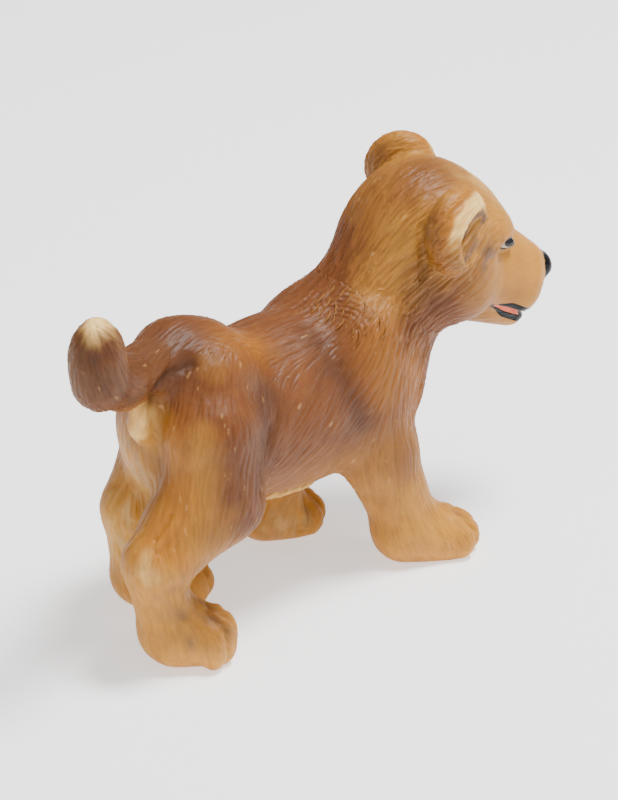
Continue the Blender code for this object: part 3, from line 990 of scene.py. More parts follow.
@dataclass
class Skin:
    """A triangle mesh with a smooth normal and paint on every point.

    Args:
        points: Places, one a row.
        normals: Outward unit vectors, one a row.
        triangles: Three point numbers a row.
        paint: Amounts from 0 to 1 by the name of the paint.
    """

    points: Array
    normals: Array
    triangles: Array
    paint: dict[str, Array] = field(default_factory=dict)

    @classmethod
    def sculpted(cls, cub: Cub) -> "Skin":
        """Mesh the smooth figure and pull every point onto it.

        Args:
            cub: The figure.

        Returns:
            The skin without relief or paint.
        """
        low = np.array(SCULPT_LOW)
        values = sample_near_surface(cub.distance, low, np.array(SCULPT_HIGH), SKIN_CELL)
        points, faces = surface_nets(values, low, SKIN_CELL)
        slopes = cub.slopes(points)
        slopes /= np.maximum((slopes**2).sum(1), LEAST_SLOPE_SQUARE)[:, None]
        for _ in range(SETTLE_ROUNDS):
            reach = np.clip(cub.distance(points), -SKIN_CELL, SKIN_CELL)
            points = points - slopes * reach[:, None]
        triangles = np.concatenate((faces[:, (0, 1, 2)], faces[:, (0, 2, 3)]))
        made = cls(points, np.zeros_like(points), triangles)
        made.renew_normals()
        return made

    def renew_normals(self) -> None:
        """Work out the smooth normals from the triangles."""
        first, second, third = (self.points[self.triangles[:, corner]] for corner in range(3))
        facing = np.cross(second - first, third - first)
        total = np.zeros_like(self.points)
        for axis in range(3):
            for corner in range(3):
                total[:, axis] += np.bincount(self.triangles[:, corner], facing[:, axis], len(self.points))
        self.normals = total / np.maximum(np.linalg.norm(total, axis=1, keepdims=True), NO_ZERO)

    def cut(self, inside: Distance) -> tuple["Skin", "Skin"]:
        """Cut the skin in two along the zero line of a field, with the same new points on both sides.

        Args:
            inside: The field, negative on the part that is taken.

        Returns:
            The part where the field is negative, and the rest.
        """
        level = inside(self.points)
        level = np.where(level == 0, NO_ZERO, level)
        taken = level < 0
        corner_count = taken[self.triangles].sum(1)
        crossed = self.triangles[(corner_count == 1) | (corner_count == 2)]
        state = taken[crossed]
        odd_is_taken = state.sum(1) == 1
        odd = np.argmax(state == odd_is_taken[:, None], axis=1)
        rows = np.arange(len(crossed))
        tip, after, last = (crossed[rows, (odd + step) % 3] for step in range(3))
        ends = np.sort(np.concatenate((np.stack((tip, after), 1), np.stack((tip, last), 1))), axis=1)
        edges, which = np.unique(ends, axis=0, return_inverse=True)
        which = which.reshape(-1) + len(self.points)
        to_after, to_last = which[: len(crossed)], which[len(crossed) :]
        start, end = edges[:, 0], edges[:, 1]
        share = np.clip(level[start] / (level[start] - level[end]), EDGE_MARGIN, 1 - EDGE_MARGIN)[:, None]

        def between(values: Array) -> Array:
            """Extend values with those of the new points.

            Args:
                values: What the old points carry, one a row.

            Returns:
                The same with a row for each new point.
            """
            if values.ndim == 1:
                return np.concatenate((values, values[start] * (1 - share[:, 0]) + values[end] * share[:, 0]))
            return np.concatenate((values, values[start] * (1 - share) + values[end] * share))

        points, normals = between(self.points), between(self.normals)
        normals /= np.maximum(np.linalg.norm(normals, axis=1, keepdims=True), NO_ZERO)
        paint = {name: between(values) for name, values in self.paint.items()}
        tips = np.stack((tip, to_after, to_last), 1)
        wide = np.concatenate((np.stack((to_after, after, last), 1), np.stack((to_after, last, to_last), 1)))
        wide_taken = np.tile(~odd_is_taken, 2)
        mine = np.concatenate((self.triangles[corner_count == 3], tips[odd_is_taken], wide[wide_taken]))
        rest = np.concatenate((self.triangles[corner_count == 0], tips[~odd_is_taken], wide[~wide_taken]))
        return Skin(points, normals, mine, paint), Skin(points, normals, rest, paint)

    def border(self) -> Array:
        """Find the open edges.

        Returns:
            Two point numbers a row, in the order in which the triangle beside them runs.
        """
        edges = self.triangles[:, ((0, 1), (1, 2), (2, 0))].reshape(-1, 2)
        size = len(self.points)
        forward, backward = edges[:, 0] * size + edges[:, 1], edges[:, 1] * size + edges[:, 0]
        return edges[~np.isin(forward, backward)]

    def capped(self, depth: float) -> tuple["Skin", int]:
        """Close every opening with a fan to one place under the skin.

        Args:
            depth: How far the middle of a fan lies under its rim.

        Returns:
            The closed skin, and how many of its last triangles are fans.
        """
        edges = self.border()
        group = np.arange(len(self.points))
        for _ in range(len(edges)):
            lowest = np.minimum(group[edges[:, 0]], group[edges[:, 1]])
            before = group.copy()
            np.minimum.at(group, edges[:, 0], lowest)
            np.minimum.at(group, edges[:, 1], lowest)
            group = group[group]
            if (group == before).all():
                break
        points, normals, fans = [self.points], [self.normals], []
        paint = {name: [values] for name, values in self.paint.items()}
        apex = len(self.points)
        for name in np.unique(group[edges[:, 0]]):
            ring = edges[group[edges[:, 0]] == name]
            inward = -self.normals[ring[:, 0]].mean(0)
            points.append((self.points[ring[:, 0]].mean(0) + depth * inward)[None])
            normals.append(inward[None] / max(np.linalg.norm(inward), NO_ZERO))
            for key, values in self.paint.items():
                paint[key].append(values[ring[:, 0]].mean()[None])
            fans.append(np.stack((ring[:, 1], ring[:, 0], np.full(len(ring), apex)), 1))
            apex += 1
        count = sum(len(fan) for fan in fans)
        joined = {name: np.concatenate(values) for name, values in paint.items()}
        triangles = np.concatenate((self.triangles, *fans)) if fans else self.triangles
        return Skin(np.concatenate(points), np.concatenate(normals), triangles, joined), count

    def trimmed(self) -> "Skin":
        """Leave out the points that no triangle uses.

        Returns:
            The smaller skin.
        """
        used, which = np.unique(self.triangles, return_inverse=True)
        paint = {name: values[used] for name, values in self.paint.items()}
        return Skin(self.points[used], self.normals[used], which.reshape(-1, 3), paint)

    def piece(self, name: str, depth: float) -> bpy.types.Object:
        """Make the closed piece of this skin.

        Args:
            name: The piece's name.
            depth: How far its inner faces sink under their rims.

        Returns:
            The new object, at the origin.
        """
        closed, fan_count = self.trimmed().capped(depth)
        mesh = bpy.data.meshes.new(name)
        mesh.vertices.add(len(closed.points))
        mesh.vertices.foreach_set("co", (closed.points * DRAWN_MM).ravel())
        mesh.loops.add(closed.triangles.size)
        mesh.loops.foreach_set("vertex_index", closed.triangles.ravel())
        mesh.polygons.add(len(closed.triangles))
        mesh.polygons.foreach_set("loop_start", np.arange(0, closed.triangles.size, 3))
        mesh.update(calc_edges=True)
        for key, values in closed.paint.items():
            layer = mesh.attributes.new(key, "FLOAT", "POINT")
            layer.data.foreach_set("value", values.astype(np.float32))
        mesh.polygons.foreach_set("use_smooth", np.ones(len(closed.triangles), bool))
        facing = closed.normals[closed.triangles].reshape(-1, 3)
        if fan_count:
            corners = closed.points[closed.triangles[-fan_count:]]
            flat = np.cross(corners[:, 1] - corners[:, 0], corners[:, 2] - corners[:, 0])
            flat /= np.maximum(np.linalg.norm(flat, axis=1, keepdims=True), NO_ZERO)
            facing[-3 * fan_count :] = np.repeat(flat, 3, axis=0)
        mesh.normals_split_custom_set(facing)
        made = bpy.data.objects.new(name, mesh)
        bpy.context.scene.collection.objects.link(made)
        return made


@dataclass
class Bench:
    """Where the painted skin is cut up: what is left of it, and the paints that several pieces share."""

    rest: Skin
    pvc: bpy.types.Material
    black: bpy.types.Material
    salmon: bpy.types.Material

    def take(
        self, node: str, inside: Distance, slot: Slot, finish: bpy.types.Material, cap_depth: float,
        label: str = "",
    ) -> bpy.types.Object:
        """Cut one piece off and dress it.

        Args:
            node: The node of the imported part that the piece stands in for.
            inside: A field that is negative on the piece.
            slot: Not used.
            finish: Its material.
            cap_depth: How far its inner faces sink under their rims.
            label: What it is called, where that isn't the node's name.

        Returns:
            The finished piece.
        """
        taken, self.rest = self.rest.cut(inside)
        made = taken.piece(f"painted_{label or node}", cap_depth)
        made.data.materials.append(finish)
        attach(made, ROOT_BODY)
        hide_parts(node)
        return made


@dataclass
class Strokes:
    """Brush-like strokes of one width and length, in millimetres, drawn along the lie of the hair."""

    width: float
    length: float
    seed: int
    steps: int = 13
    table_size: int = 64

    def height(self, points: Array, direction: Array) -> Array:
        """Relief of the strokes, about -2 to 2.

        Args:
            points: Places, one a row.
            direction: The lie of the hair at each place.

        Returns:
            The height at each place.
        """
        table = np.random.default_rng(self.seed).standard_normal((self.table_size,) * 3).astype(np.float32)
        total = np.zeros(len(points))
        for share in np.linspace(-1, 1, self.steps):
            at = (points + direction * (share * self.length / 2)) / self.width
            whole = np.floor(at).astype(int)
            part = at - whole
            part = part * part * (3 - 2 * part)
            for x, y, z in CORNERS:
                weight = np.abs(1 - x - part[:, 0]) * np.abs(1 - y - part[:, 1]) * np.abs(1 - z - part[:, 2])
                index = (whole + (x, y, z)) % self.table_size
                total += weight * table[index[:, 0], index[:, 1], index[:, 2]] * (1 - share * share)
        return total / max(float(total.std()), NO_ZERO)


@dataclass(frozen=True)
class Curl:
    """A patch where the hair is drawn in arcs round a place beside it."""

    middle: Place
    centre: Place
    reach: float
    pitch: float = 0.6
    depth: float = 0.07

    def height(self, points: Array) -> Array:
        """Work out the relief of the arcs.

        Args:
            points: Places, one a row.

        Returns:
            The height at each place.
        """
        away = np.linalg.norm(points - self.centre, axis=1)
        fade = np.linalg.norm(points - self.middle, axis=1) / self.reach
        return self.depth * np.cos(2 * math.pi * away / self.pitch) * np.exp(-(fade**4))


@dataclass(frozen=True)
class Crease:
    """A groove, or a ridge where the depth is negative, that is tooled into the clay along a line."""

    start: Place
    end: Place
    width: float
    depth: float


# How the coat lies: both ends of a line along the hair, how far it reaches, and how deep the hair is there.
HAIR = tuple(FurLine(*row) for row in (
    ((13, 0, 36.5), (4, 0.8, 29.5), 4, 1.5),
    ((4, 0.8, 29.5), (-14, 0.8, 32.5), 5, 0.82),
    ((17, -7.5, 32), (7, -7, 24), 4, 1.7),
    ((17, 6.5, 32), (7, 8, 24), 4, 1.7),
    ((16.5, -3.5, 26.5), (12, -4, 16), 3.5, 1.6),
    ((16.5, 2.5, 26.5), (12, 4, 16), 3.5, 1.6),
    ((4, -8, 24), (-8, -8, 15), 5, 0.82),
    ((4, 9, 24), (-8, 9, 15), 5, 0.82),
    ((7, -7, 24), (7, -7, 12), 4, 0.72),
    ((6, 9, 24), (5, 9, 12), 4, 0.72),
    ((-12, -7, 30), (-16, -8, 15), 4.5, 0.72),
    ((-11, 7, 30), (-13, 8.5, 15), 4.5, 0.72),
    ((-19, -3, 28), (-21, -4.5, 13), 3.5, 0.72),
    ((-19, 3, 28), (-18, 6, 13), 3.5, 0.72),
    ((-22, -4.5, 12), (-19.5, -5, 3), 3.5, 0.66),
    ((-17, 6, 12), (-13.5, 5, 3), 3.5, 0.66),
    ((8, -5, 13), (12, -6.5, 3), 3.5, 0.66),
    ((4.5, 7, 13), (4.5, 7.5, 3), 3.5, 0.66),
    ((-15, 1, 32), (-25, -2, 31), 4, 0.72),
    ((-26, -2.5, 31), (-29, -3.5, 39), 4, 1),
    ((6, 0.5, 10.5), (-6, 0.5, 10.5), 4, 0.9),
    ((29, -5, 31), (21, -2, 38), 4, 0.2),
    ((21, -2, 38.5), (11, 0, 35), 4, 1),
    ((28, -8, 28), (17, -9, 27), 4, 0.2),
    ((30, -1, 28), (19, 6.5, 27), 4, 0.2),
))

# What is tooled by hand: both ends of a groove, its width, and its depth, which is negative for a ridge. They
# run behind the ear and jaw, over hip and shoulder, along the hock's tendons and left paw, and under the tail.
CREASES = tuple(Crease(*row) for row in (
    ((12.8, -5.5, 36.2), (11.8, -6.8, 31.5), 0.6, 0.4),
    ((11.8, -6.8, 31.5), (12.8, -7.6, 27.6), 0.6, 0.3),
    ((11.4, -4.6, 36.2), (10.6, -6, 31.5), 0.8, -0.2),
    ((-6.8, -4.5, 27.1), (-9.6, -7.2, 22.5), 0.8, 0.22),
    ((-9.6, -7.2, 22.5), (-12.6, -8.8, 17.4), 0.8, 0.35),
    ((-0.5, -5.8, 25.4), (2.6, -7.8, 17), 1.2, 0.22),
    ((-24.2, -6.5, 14.2), (-22.6, -6.9, 15.7), 0.28, 0.26),
    ((-22.6, -6.9, 15.7), (-20.8, -7, 18.4), 0.25, 0.22),
    ((-24.2, -6, 14.8), (-22.4, -6.3, 16.8), 0.3, -0.2),
    ((-23.9, -5.6, 15.3), (-22, -5.8, 17.4), 0.26, 0.24),
    ((-22.9, -7.3, 14.6), (-21.2, -7.6, 16.9), 0.26, 0.18),
    ((-23.6, -7.2, 10.6), (-22.4, -7.8, 6.6), 0.9, 0.3),
    ((2.9, 4, 4.5), (4.4, 3.7, 1.2), 0.35, 0.2),
    ((0.8, 4, 3.8), (2.3, 3.9, 1.3), 0.4, 0.2),
    ((-22.5, -4.2, 30.4), (-20.8, -2.6, 28.4), 0.7, 0.35),
    ((5.3, 4.2, 5.4), (5.5, 3.4, 0.9), 0.25, 0.14),
    ((-20.6, -2.9, 29.9), (-16.6, -2.8, 30.8), 0.8, 0.55),
    ((-20.4, -2.4, 27.6), (-20.9, -2.4, 23), 0.8, 0.7),
    ((-20.9, -2.4, 23), (-20.6, -1.6, 17.5), 1.1, 0.6),
    ((-21.6, -0.2, 27.9), (-21.4, 1.6, 24), 0.5, 0.35),
    ((13.9, -10.9, 2.6), (14.6, -10.6, 1.6), 0.22, 0.2),
))

# Combed curls on withers and rump: the middle of the patch, the place that its arcs run round, the patch's
# reach, and where they differ from the usual the arcs' spacing and depth.
CURLS = tuple(Curl(*row) for row in (
    ((4.6, -2.6, 29.6), (1.8, -4, 27), 1.9),
    ((6.6, -5.2, 29), (9.4, -5, 26.6), 1.9, 0.56),
    ((4.4, -5.6, 27.2), (1.2, -5, 28.6), 1.6),
    ((2.4, 0.2, 30), (-0.6, 1.6, 28.8), 1.8, 0.6, 0.05),
    ((-13, -3.6, 31.4), (-15.6, -5, 29.4), 1.6, 0.6, 0.05),
    ((-9, -4.2, 29), (-11.4, -2.6, 30.6), 1.5, 0.6, 0.04),
))

# The passes of the airbrush: both ends of a pass, its radius and its strength, which is negative where paint is
# kept off or wiped off.
# Some of the passes lay painted highlight and painted shade, as the notes above them say.
COAT_COLOURS = {paint: tuple(Spray(*row) for row in rows) for paint, rows in {
    Paint.BROWN: (
        ((12, 0, 25), (-14.5, 0.7, 25), 14.5, 1.6),
        ((6, -7.5, 20), (8, -8, 13), 4.5, 0.85),
        ((7, -8, 25), (-10, -9, 20), 6.5, 1.1),
        ((2, 9, 22), (-10, 9.5, 20), 6, 1.05),
        ((-29, -4, 32), (-29.2, -4.2, 37.5), 4.5, 1.1),
        ((14, 0, 36), (4, 0.8, 30), 7, 1),
        ((-16, 0.8, 32), (-29, -3.4, 31.5), 6, 1.1),
        ((-11, -8, 25), (-14.5, -9, 15.5), 4.6, 1.05),
        ((-14.6, -8.8, 23.6), (-16.4, -8.8, 19), 3.2, 1.1),
        ((-20.5, -7.5, 11), (-19, -8.5, 6), 3.4, 0.65),
        ((-24, -6.6, 15), (-21, -7.2, 18.5), 2.4, 0.6),
        ((8, -9, 26), (9, -8, 20), 4.5, 1),
        ((-11, 8, 25), (-13, 9, 15.5), 4.5, 0.85),
        ((17.2, -2.2, 40.3), (14, -2, 38), 5.6, 1),
        ((14, 5, 42), (14, 8, 38), 5.5, 1),
        ((12.2, -7.8, 37.9), (12.2, -8.4, 33.2), 3, 1),
        ((25.5, -4, 31), (31, -6, 27), 8, -1),
        ((20.5, -7.5, 34), (22, -8, 30), 3.6, -0.6),
        ((-21, -4.5, 24), (-22.5, -6, 17.5), 2.2, -0.5),
        ((-18.8, -6.6, 25), (-20, -7.4, 18), 2, -0.55),
        ((-21.4, -1.6, 26.4), (-21.4, -1, 23), 2.6, -0.95),
        # The next pass thins the brown on the neck, a painted sheen on its hair.
        ((12, -5, 34), (8.6, -4.4, 31), 4.8, -0.65),
        # The next pass wipes the brown off the far hind leg, partly for its pale paint and partly as painted
        # light where it lies in shade.
        ((-21, 2, 21), (-18, 5, 8), 4.5, -0.9),
        ((-26, -6, 13), (-24, -6, 11), 3, -0.7),
        # The last pass wipes the brown thin on the hip as a painted highlight.
        ((-15.5, -3.9, 30.7), (-15, -4.6, 29.8), 2, -0.4),
    ),
    Paint.UMBER: (
        # The next three passes are painted shade along the crease behind each shoulder blade.
        ((-0.2, -3.5, 27.8), (0, -5.8, 25.4), 2.2, 0.75),
        ((0, -5.8, 25.4), (2.4, -7.5, 19), 1.8, 0.75),
        ((0, 5.8, 26.4), (1, 8.6, 19), 2, 0.6),
        # The next three passes are painted shade along the front of each thigh.
        ((-9.7, -6, 25.5), (-12.6, -8.5, 18.7), 2.6, 0.8),
        ((-14, -8.8, 23), (-15.6, -9, 18), 2.8, 0.5),
        ((-8.4, 7.6, 25.5), (-10, 9.5, 17.7), 2.6, 0.7),
        # The next pass is painted shade on the underside of the tail.
        ((-19, -3.8, 31), (-27, -5.6, 31.2), 2, 0.75),
        # The next pass is painted shade in the groove behind the ear.
        ((11.4, -5.5, 36.5), (11.4, -6.8, 31), 1.6, 0.4),
        ((-17, -2, 33), (-27, -5, 33.5), 3.5, 0.85),
        # The next two passes are painted shade in the groove behind the jaw and behind the ear.
        ((11.4, -6.8, 31), (13.5, -7.8, 27.5), 1.6, 0.4),
        ((12.2, -8.2, 36.4), (12.4, -8.9, 33), 1.9, 0.5),
        ((5, -6.8, 25.8), (6, -7.6, 22), 2.4, 0.35),
        ((-13.6, -9, 18.5), (-17.6, -8.6, 15), 2.6, 0.3),
        ((-29.6, -4, 34.6), (-29.6, -4, 36.8), 3.6, 1),
        # The last two passes are painted shade under the tail: in the gap above the pouch and along the crease
        # beneath its root.
        ((-21.8, -3, 30), (-20.8, -2, 28), 1.2, 0.8),
        ((-21, -3, 29.9), (-16.4, -2.8, 30.7), 1.3, 0.9),
    ),
    Paint.OCHRE: (
        ((-20.6, -4.5, 25), (-21.2, -6, 19.6), 2, 0.5),
        ((-21.2, -6, 19.6), (-25, -6.1, 13.5), 2, 0.9),
        ((-23.7, -3.5, 28.5), (-22.5, -3, 26.5), 2, 0.6),
        ((5.3, -7.5, 26.5), (6, -8, 22), 2.6, 0.75),
        # The next pass is a painted highlight on the back, ochre lightening the brown.
        ((-7.5, -1.6, 29.5), (-12, -2.5, 30), 2.6, 0.6),
        ((24, -7.5, 31), (28, -8, 28), 4, 0.35),
        ((9.5, -6.5, 22), (10.5, -5.5, 18), 3, 0.6),
        # The next pass is a painted highlight along the top of the tail.
        ((-18.5, -1.8, 32.6), (-26, -4.4, 33), 1.6, 0.35),
        ((-24, -6, 16), (-22.4, -7.6, 13), 1.6, 0.6),
    ),
    Paint.CREAM: (
        ((-29.2, -3.6, 41.6), (-29.4, -3.8, 41), 2.6, 1.2),
        ((5, 0.5, 10), (-9, 0.5, 10.5), 2.6, 0.55),
        ((-20.3, -9.5, 2), (-18, -9.5, 2), 1.8, 0.35),
        ((-26, -5.5, 12.6), (-25.4, -6.2, 14.8), 1.8, 0.55),
        # The next pass lightens the forehead, partly its pale paint and partly a painted highlight.
        ((21.5, -2.5, 38), (25, -3.8, 35), 3.4, 0.5),
        # The next pass lightens the far hind leg, partly its pale paint and partly painted light where it lies
        # in shade.
        ((-21, 2, 18), (-18, 5, 8), 4, 0.5),
        ((-21.4, -1.6, 26.4), (-21.6, -1.2, 24.6), 1.6, 0.8),
        ((1, 3.9, 2.6), (4.4, 3.6, 2.6), 2.4, 0.42),
        ((-25.6, -6, 13.6), (-25.6, -6, 12.4), 1.8, 0.6),
    ),
    Paint.GREY: (
        ((-21, 1, 21.6), (-18.5, 3.5, 8), 3, 0.35),
        ((16.3, -8.6, 32.6), (15.9, -8.8, 33.6), 1.7, 0.8),
        ((19.6, -8.1, 31.7), (19.1, -8.3, 31.1), 1.1, 0.9),
        ((-23, -7.4, 9.6), (-21.6, -8.2, 4.6), 2, 0.35),
        ((-18.8, -7.1, 6.2), (-18.2, -9, 4.8), 1.6, 0.45),
        # The next pass is painted shade in a groove between the toes of the left fore paw.
        ((5.2, 3.8, 5.2), (5.5, 3.4, 1.2), 0.7, 0.5),
        ((0.8, 3.9, 3.2), (4.4, 3.6, 2.6), 2.6, 0.22),
        ((15.2, -9.2, 34.8), (17.2, -8.6, 34), 1.4, 0.45),
    ),
}.items()}


@dataclass
class Coat:
    """The combed hair, the tooled creases and the sprayed colours of the figure, with painted highlight and
    shade along hair and creases.

    Depths and heights are in millimetres. A pair is where a smooth step starts and ends, and a share is how
    much of one thing goes into another.
    """

    hair: Sequence[FurLine] = HAIR
    creases: Sequence[Crease] = CREASES
    curls: Sequence[Curl] = CURLS
    colours: dict[Paint, Sequence[Spray]] = field(default_factory=lambda: COAT_COLOURS)
    locks: Strokes = field(default_factory=lambda: Strokes(0.55, 5.0, 11, 13))
    strands: Strokes = field(default_factory=lambda: Strokes(0.27, 4.6, 12, 19))
    blotches: Strokes = field(default_factory=lambda: Strokes(0.8, 1.6, 13, 5))
    scratches: Strokes = field(default_factory=lambda: Strokes(0.24, 1.3, 14, 7))
    lock_depth: float = 0.028
    lock_range: float = 0.8
    strand_depth: float = 0.075
    strand_crest: float = 0.7
    strand_floor: float = -0.8
    smooth_sole: tuple[float, float] = (0.05, 1.2)
    scratch_crests: tuple[float, float] = (2.2, 2.9)
    scratch_hair: tuple[float, float] = (0.2, 0.5)
    scratch_rise: float = 0.04
    curl_base: float = 0.55
    curl_swing: float = 0.45
    shade_range: float = 0.18
    crease_shade: float = 0.5
    blotch_share: float = 0.6
    lock_share: float = 0.4
    cream_break: tuple[float, float] = (-0.5, 0.42)
    cream_middle: float = 0.56
    cream_blotch: float = 0.2
    grey_base: float = 0.75
    grey_blotch: float = 0.9
    hollow_cover: float = 0.6
    edge_stain: float = 0.9

    def lie(self, skin: Skin) -> tuple[Array, Array]:
        """Lay the hair over a skin.

        Args:
            skin: The smooth skin.

        Returns:
            A unit vector along the hair, and how deep it is cut, one row a point.
        """
        flow, depth, weight = np.zeros_like(skin.points), np.zeros(len(skin.points)), np.zeros(len(skin.points))
        for line in self.hair:
            share = (1 + (segment_distance(skin.points, line.start, line.end) / line.reach) ** 2) ** -3
            along = np.subtract(line.end, line.start)
            flow += share[:, None] * along / np.linalg.norm(along)
            depth += share * line.depth
            weight += share
        flow -= (flow * skin.normals).sum(1)[:, None] * skin.normals
        flow /= np.maximum(np.linalg.norm(flow, axis=1, keepdims=True), NO_ZERO)
        return flow, depth / weight

    def tooled(self, points: Array, cub: Cub) -> Array:
        """Work out how deep the creases and the grooves between the toes are.

        Args:
            points: Places, one a row.
            cub: The figure, which knows where its toes are.

        Returns:
            One depth a point, from the deepest tool mark there.
        """
        cut_in = np.zeros(len(points))
        grooves = (groove for leg in cub.legs for groove in leg.paw.grooves())
        for crease in (*self.creases, *grooves):
            away = segment_distance(points, crease.start, crease.end) / crease.width
            single = crease.depth * np.exp(-away * away)
            cut_in = np.where(np.abs(single) > np.abs(cut_in), single, cut_in)
        return cut_in

    def comb(self, skin: Skin, cub: Cub) -> None:
        """Cut the hair and the creases into a skin, lay painted highlight and shade along them, and break the
        pale paints up along the hair.

        Args:
            skin: The sprayed smooth skin, which gets its relief and its new normals.
            cub: The figure, which knows where its toes are.
        """
        flow, depth = self.lie(skin)
        locks, strands = self.locks.height(skin.points, flow), self.strands.height(skin.points, flow)
        # Locks have sharp valleys between broad crests, and strands have sharp crests between broad valleys.
        relief = self.lock_depth * np.clip(np.abs(locks) - self.lock_range, -self.lock_range, self.lock_range)
        relief += self.strand_depth * np.clip(
            self.strand_crest - np.abs(strands), self.strand_floor, self.strand_crest
        )
        relief *= depth * smooth_step(*self.smooth_sole, skin.points[:, 2])
        # Handling scratches the raised hair here and there, and lifts a fine burr. The scratches are also
        # painted paler, partly as worn paint and partly as painted glints on the hair.
        scratch = smooth_step(*self.scratch_crests, self.scratches.height(skin.points, flow))
        scratch *= smooth_step(*self.scratch_hair, depth)
        relief += self.scratch_rise * scratch
        for curl in self.curls:
            relief += curl.height(skin.points) * (self.curl_base + self.curl_swing * np.clip(locks, -1, 1))
        cut_in = self.tooled(skin.points, cub)
        # The strand shading layer is painted highlight on raised hair and painted shade in its valleys and in
        # the tooled creases.
        shade = np.clip(0.5 + relief / self.shade_range, 0, 1)
        skin.paint[Relief.SCRATCH.value] = scratch
        skin.paint[Relief.STRAND.value] = np.clip(shade - self.crease_shade * cut_in, 0, 1)
        blotches = self.blotch_share * self.blotches.height(skin.points, flow) + self.lock_share * locks
        cream, grey = skin.paint[Paint.CREAM.value], skin.paint[Paint.GREY.value]
        broken = smooth_step(*self.cream_break, cream - self.cream_middle + self.cream_blotch * blotches)
        skin.paint[Paint.CREAM.value] = cream * broken
        skin.paint[Paint.GREY.value] = np.clip(grey * (self.grey_base + self.grey_blotch * blotches), 0, 1)
        skin.points = skin.points + skin.normals * (relief - cut_in)[:, None]
        skin.renew_normals()

    def spray(self, skin: Skin, cub: Cub) -> None:
        """Lay the sprayed colours over a skin, and brush the ears and the lids.

        Args:
            skin: The skin, which gets one paint layer a colour.
            cub: The figure, which knows where its ears and eyes are.
        """
        for paint, passes in self.colours.items():
            amount, wiped = np.zeros(len(skin.points)), np.zeros(len(skin.points))
            for single in passes:
                if single.strength > 0:
                    amount = np.maximum(amount, single.cover(skin.points))
                else:
                    wiped = np.maximum(wiped, -single.cover(skin.points))
            skin.paint[paint.value] = np.clip(amount * (1 - wiped), 0, 1)
        for side in Side:
            rim, edge, hollow = cub.head.ear_paint(skin.points, side)
            for paint in (Paint.BROWN, Paint.UMBER, Paint.OCHRE):
                skin.paint[paint.value] *= 1 - np.maximum(rim, self.hollow_cover * hollow)
            brushed = {
                Paint.CREAM: rim,
                Paint.OCHRE: self.edge_stain * edge,
                Paint.GREY: hollow,
                Paint.INK: cub.head.eye_line(skin.points, side),
            }
            for paint, amount in brushed.items():
                skin.paint[paint.value] = np.maximum(skin.paint.get(paint.value, 0.0), amount)


NodeValue = bpy.types.NodeSocket | float | int | str | tuple


def linear(colour: str) -> tuple[float, float, float, float]:
    """Turn an sRGB hex colour to linear.

    Args:
        colour: The colour as "#RRGGBB".

    Returns:
        Its linear red, green and blue, and full cover.
    """
    shares = [int(colour[at : at + 2], 16) / 255 for at in (1, 3, 5)]
    return (*(share / 12.92 if share <= 0.04045 else ((share + 0.055) / 1.055) ** 2.4 for share in shares), 1.0)


def cells_a_metre(width: float) -> float:
    """The scale of a noise texture whose spots are a given width in millimetres."""
    return float(round(1 / (width * MM)))


def add_node(
    tree: bpy.types.NodeTree, kind: str, inputs: dict[str | int, NodeValue] | None = None, **settings: object
) -> bpy.types.Node:
    """Add a node with its settings and what goes into it.

    Args:
        tree: The tree that gets the node.
        kind: The node's type.
        inputs: A value or another node's output for each input.
        **settings: Properties of the node.

    Returns:
        The new node.
    """
    made = tree.nodes.new(kind)
    for name, value in settings.items():
        setattr(made, name, value)
    for name, value in (inputs or {}).items():
        if isinstance(value, bpy.types.NodeSocket):
            tree.links.new(value, made.inputs[name])
        else:
            made.inputs[name].default_value = value
    return made


def new_material(name: str) -> tuple[bpy.types.Material, bpy.types.NodeTree]:
    """Start a material.

    Args:
        name: What the finish is called.

    Returns:
        The material and its empty tree.
    """
    made = bpy.data.materials.new(name)
    made.use_nodes = True
    made.node_tree.nodes.clear()
    return made, made.node_tree


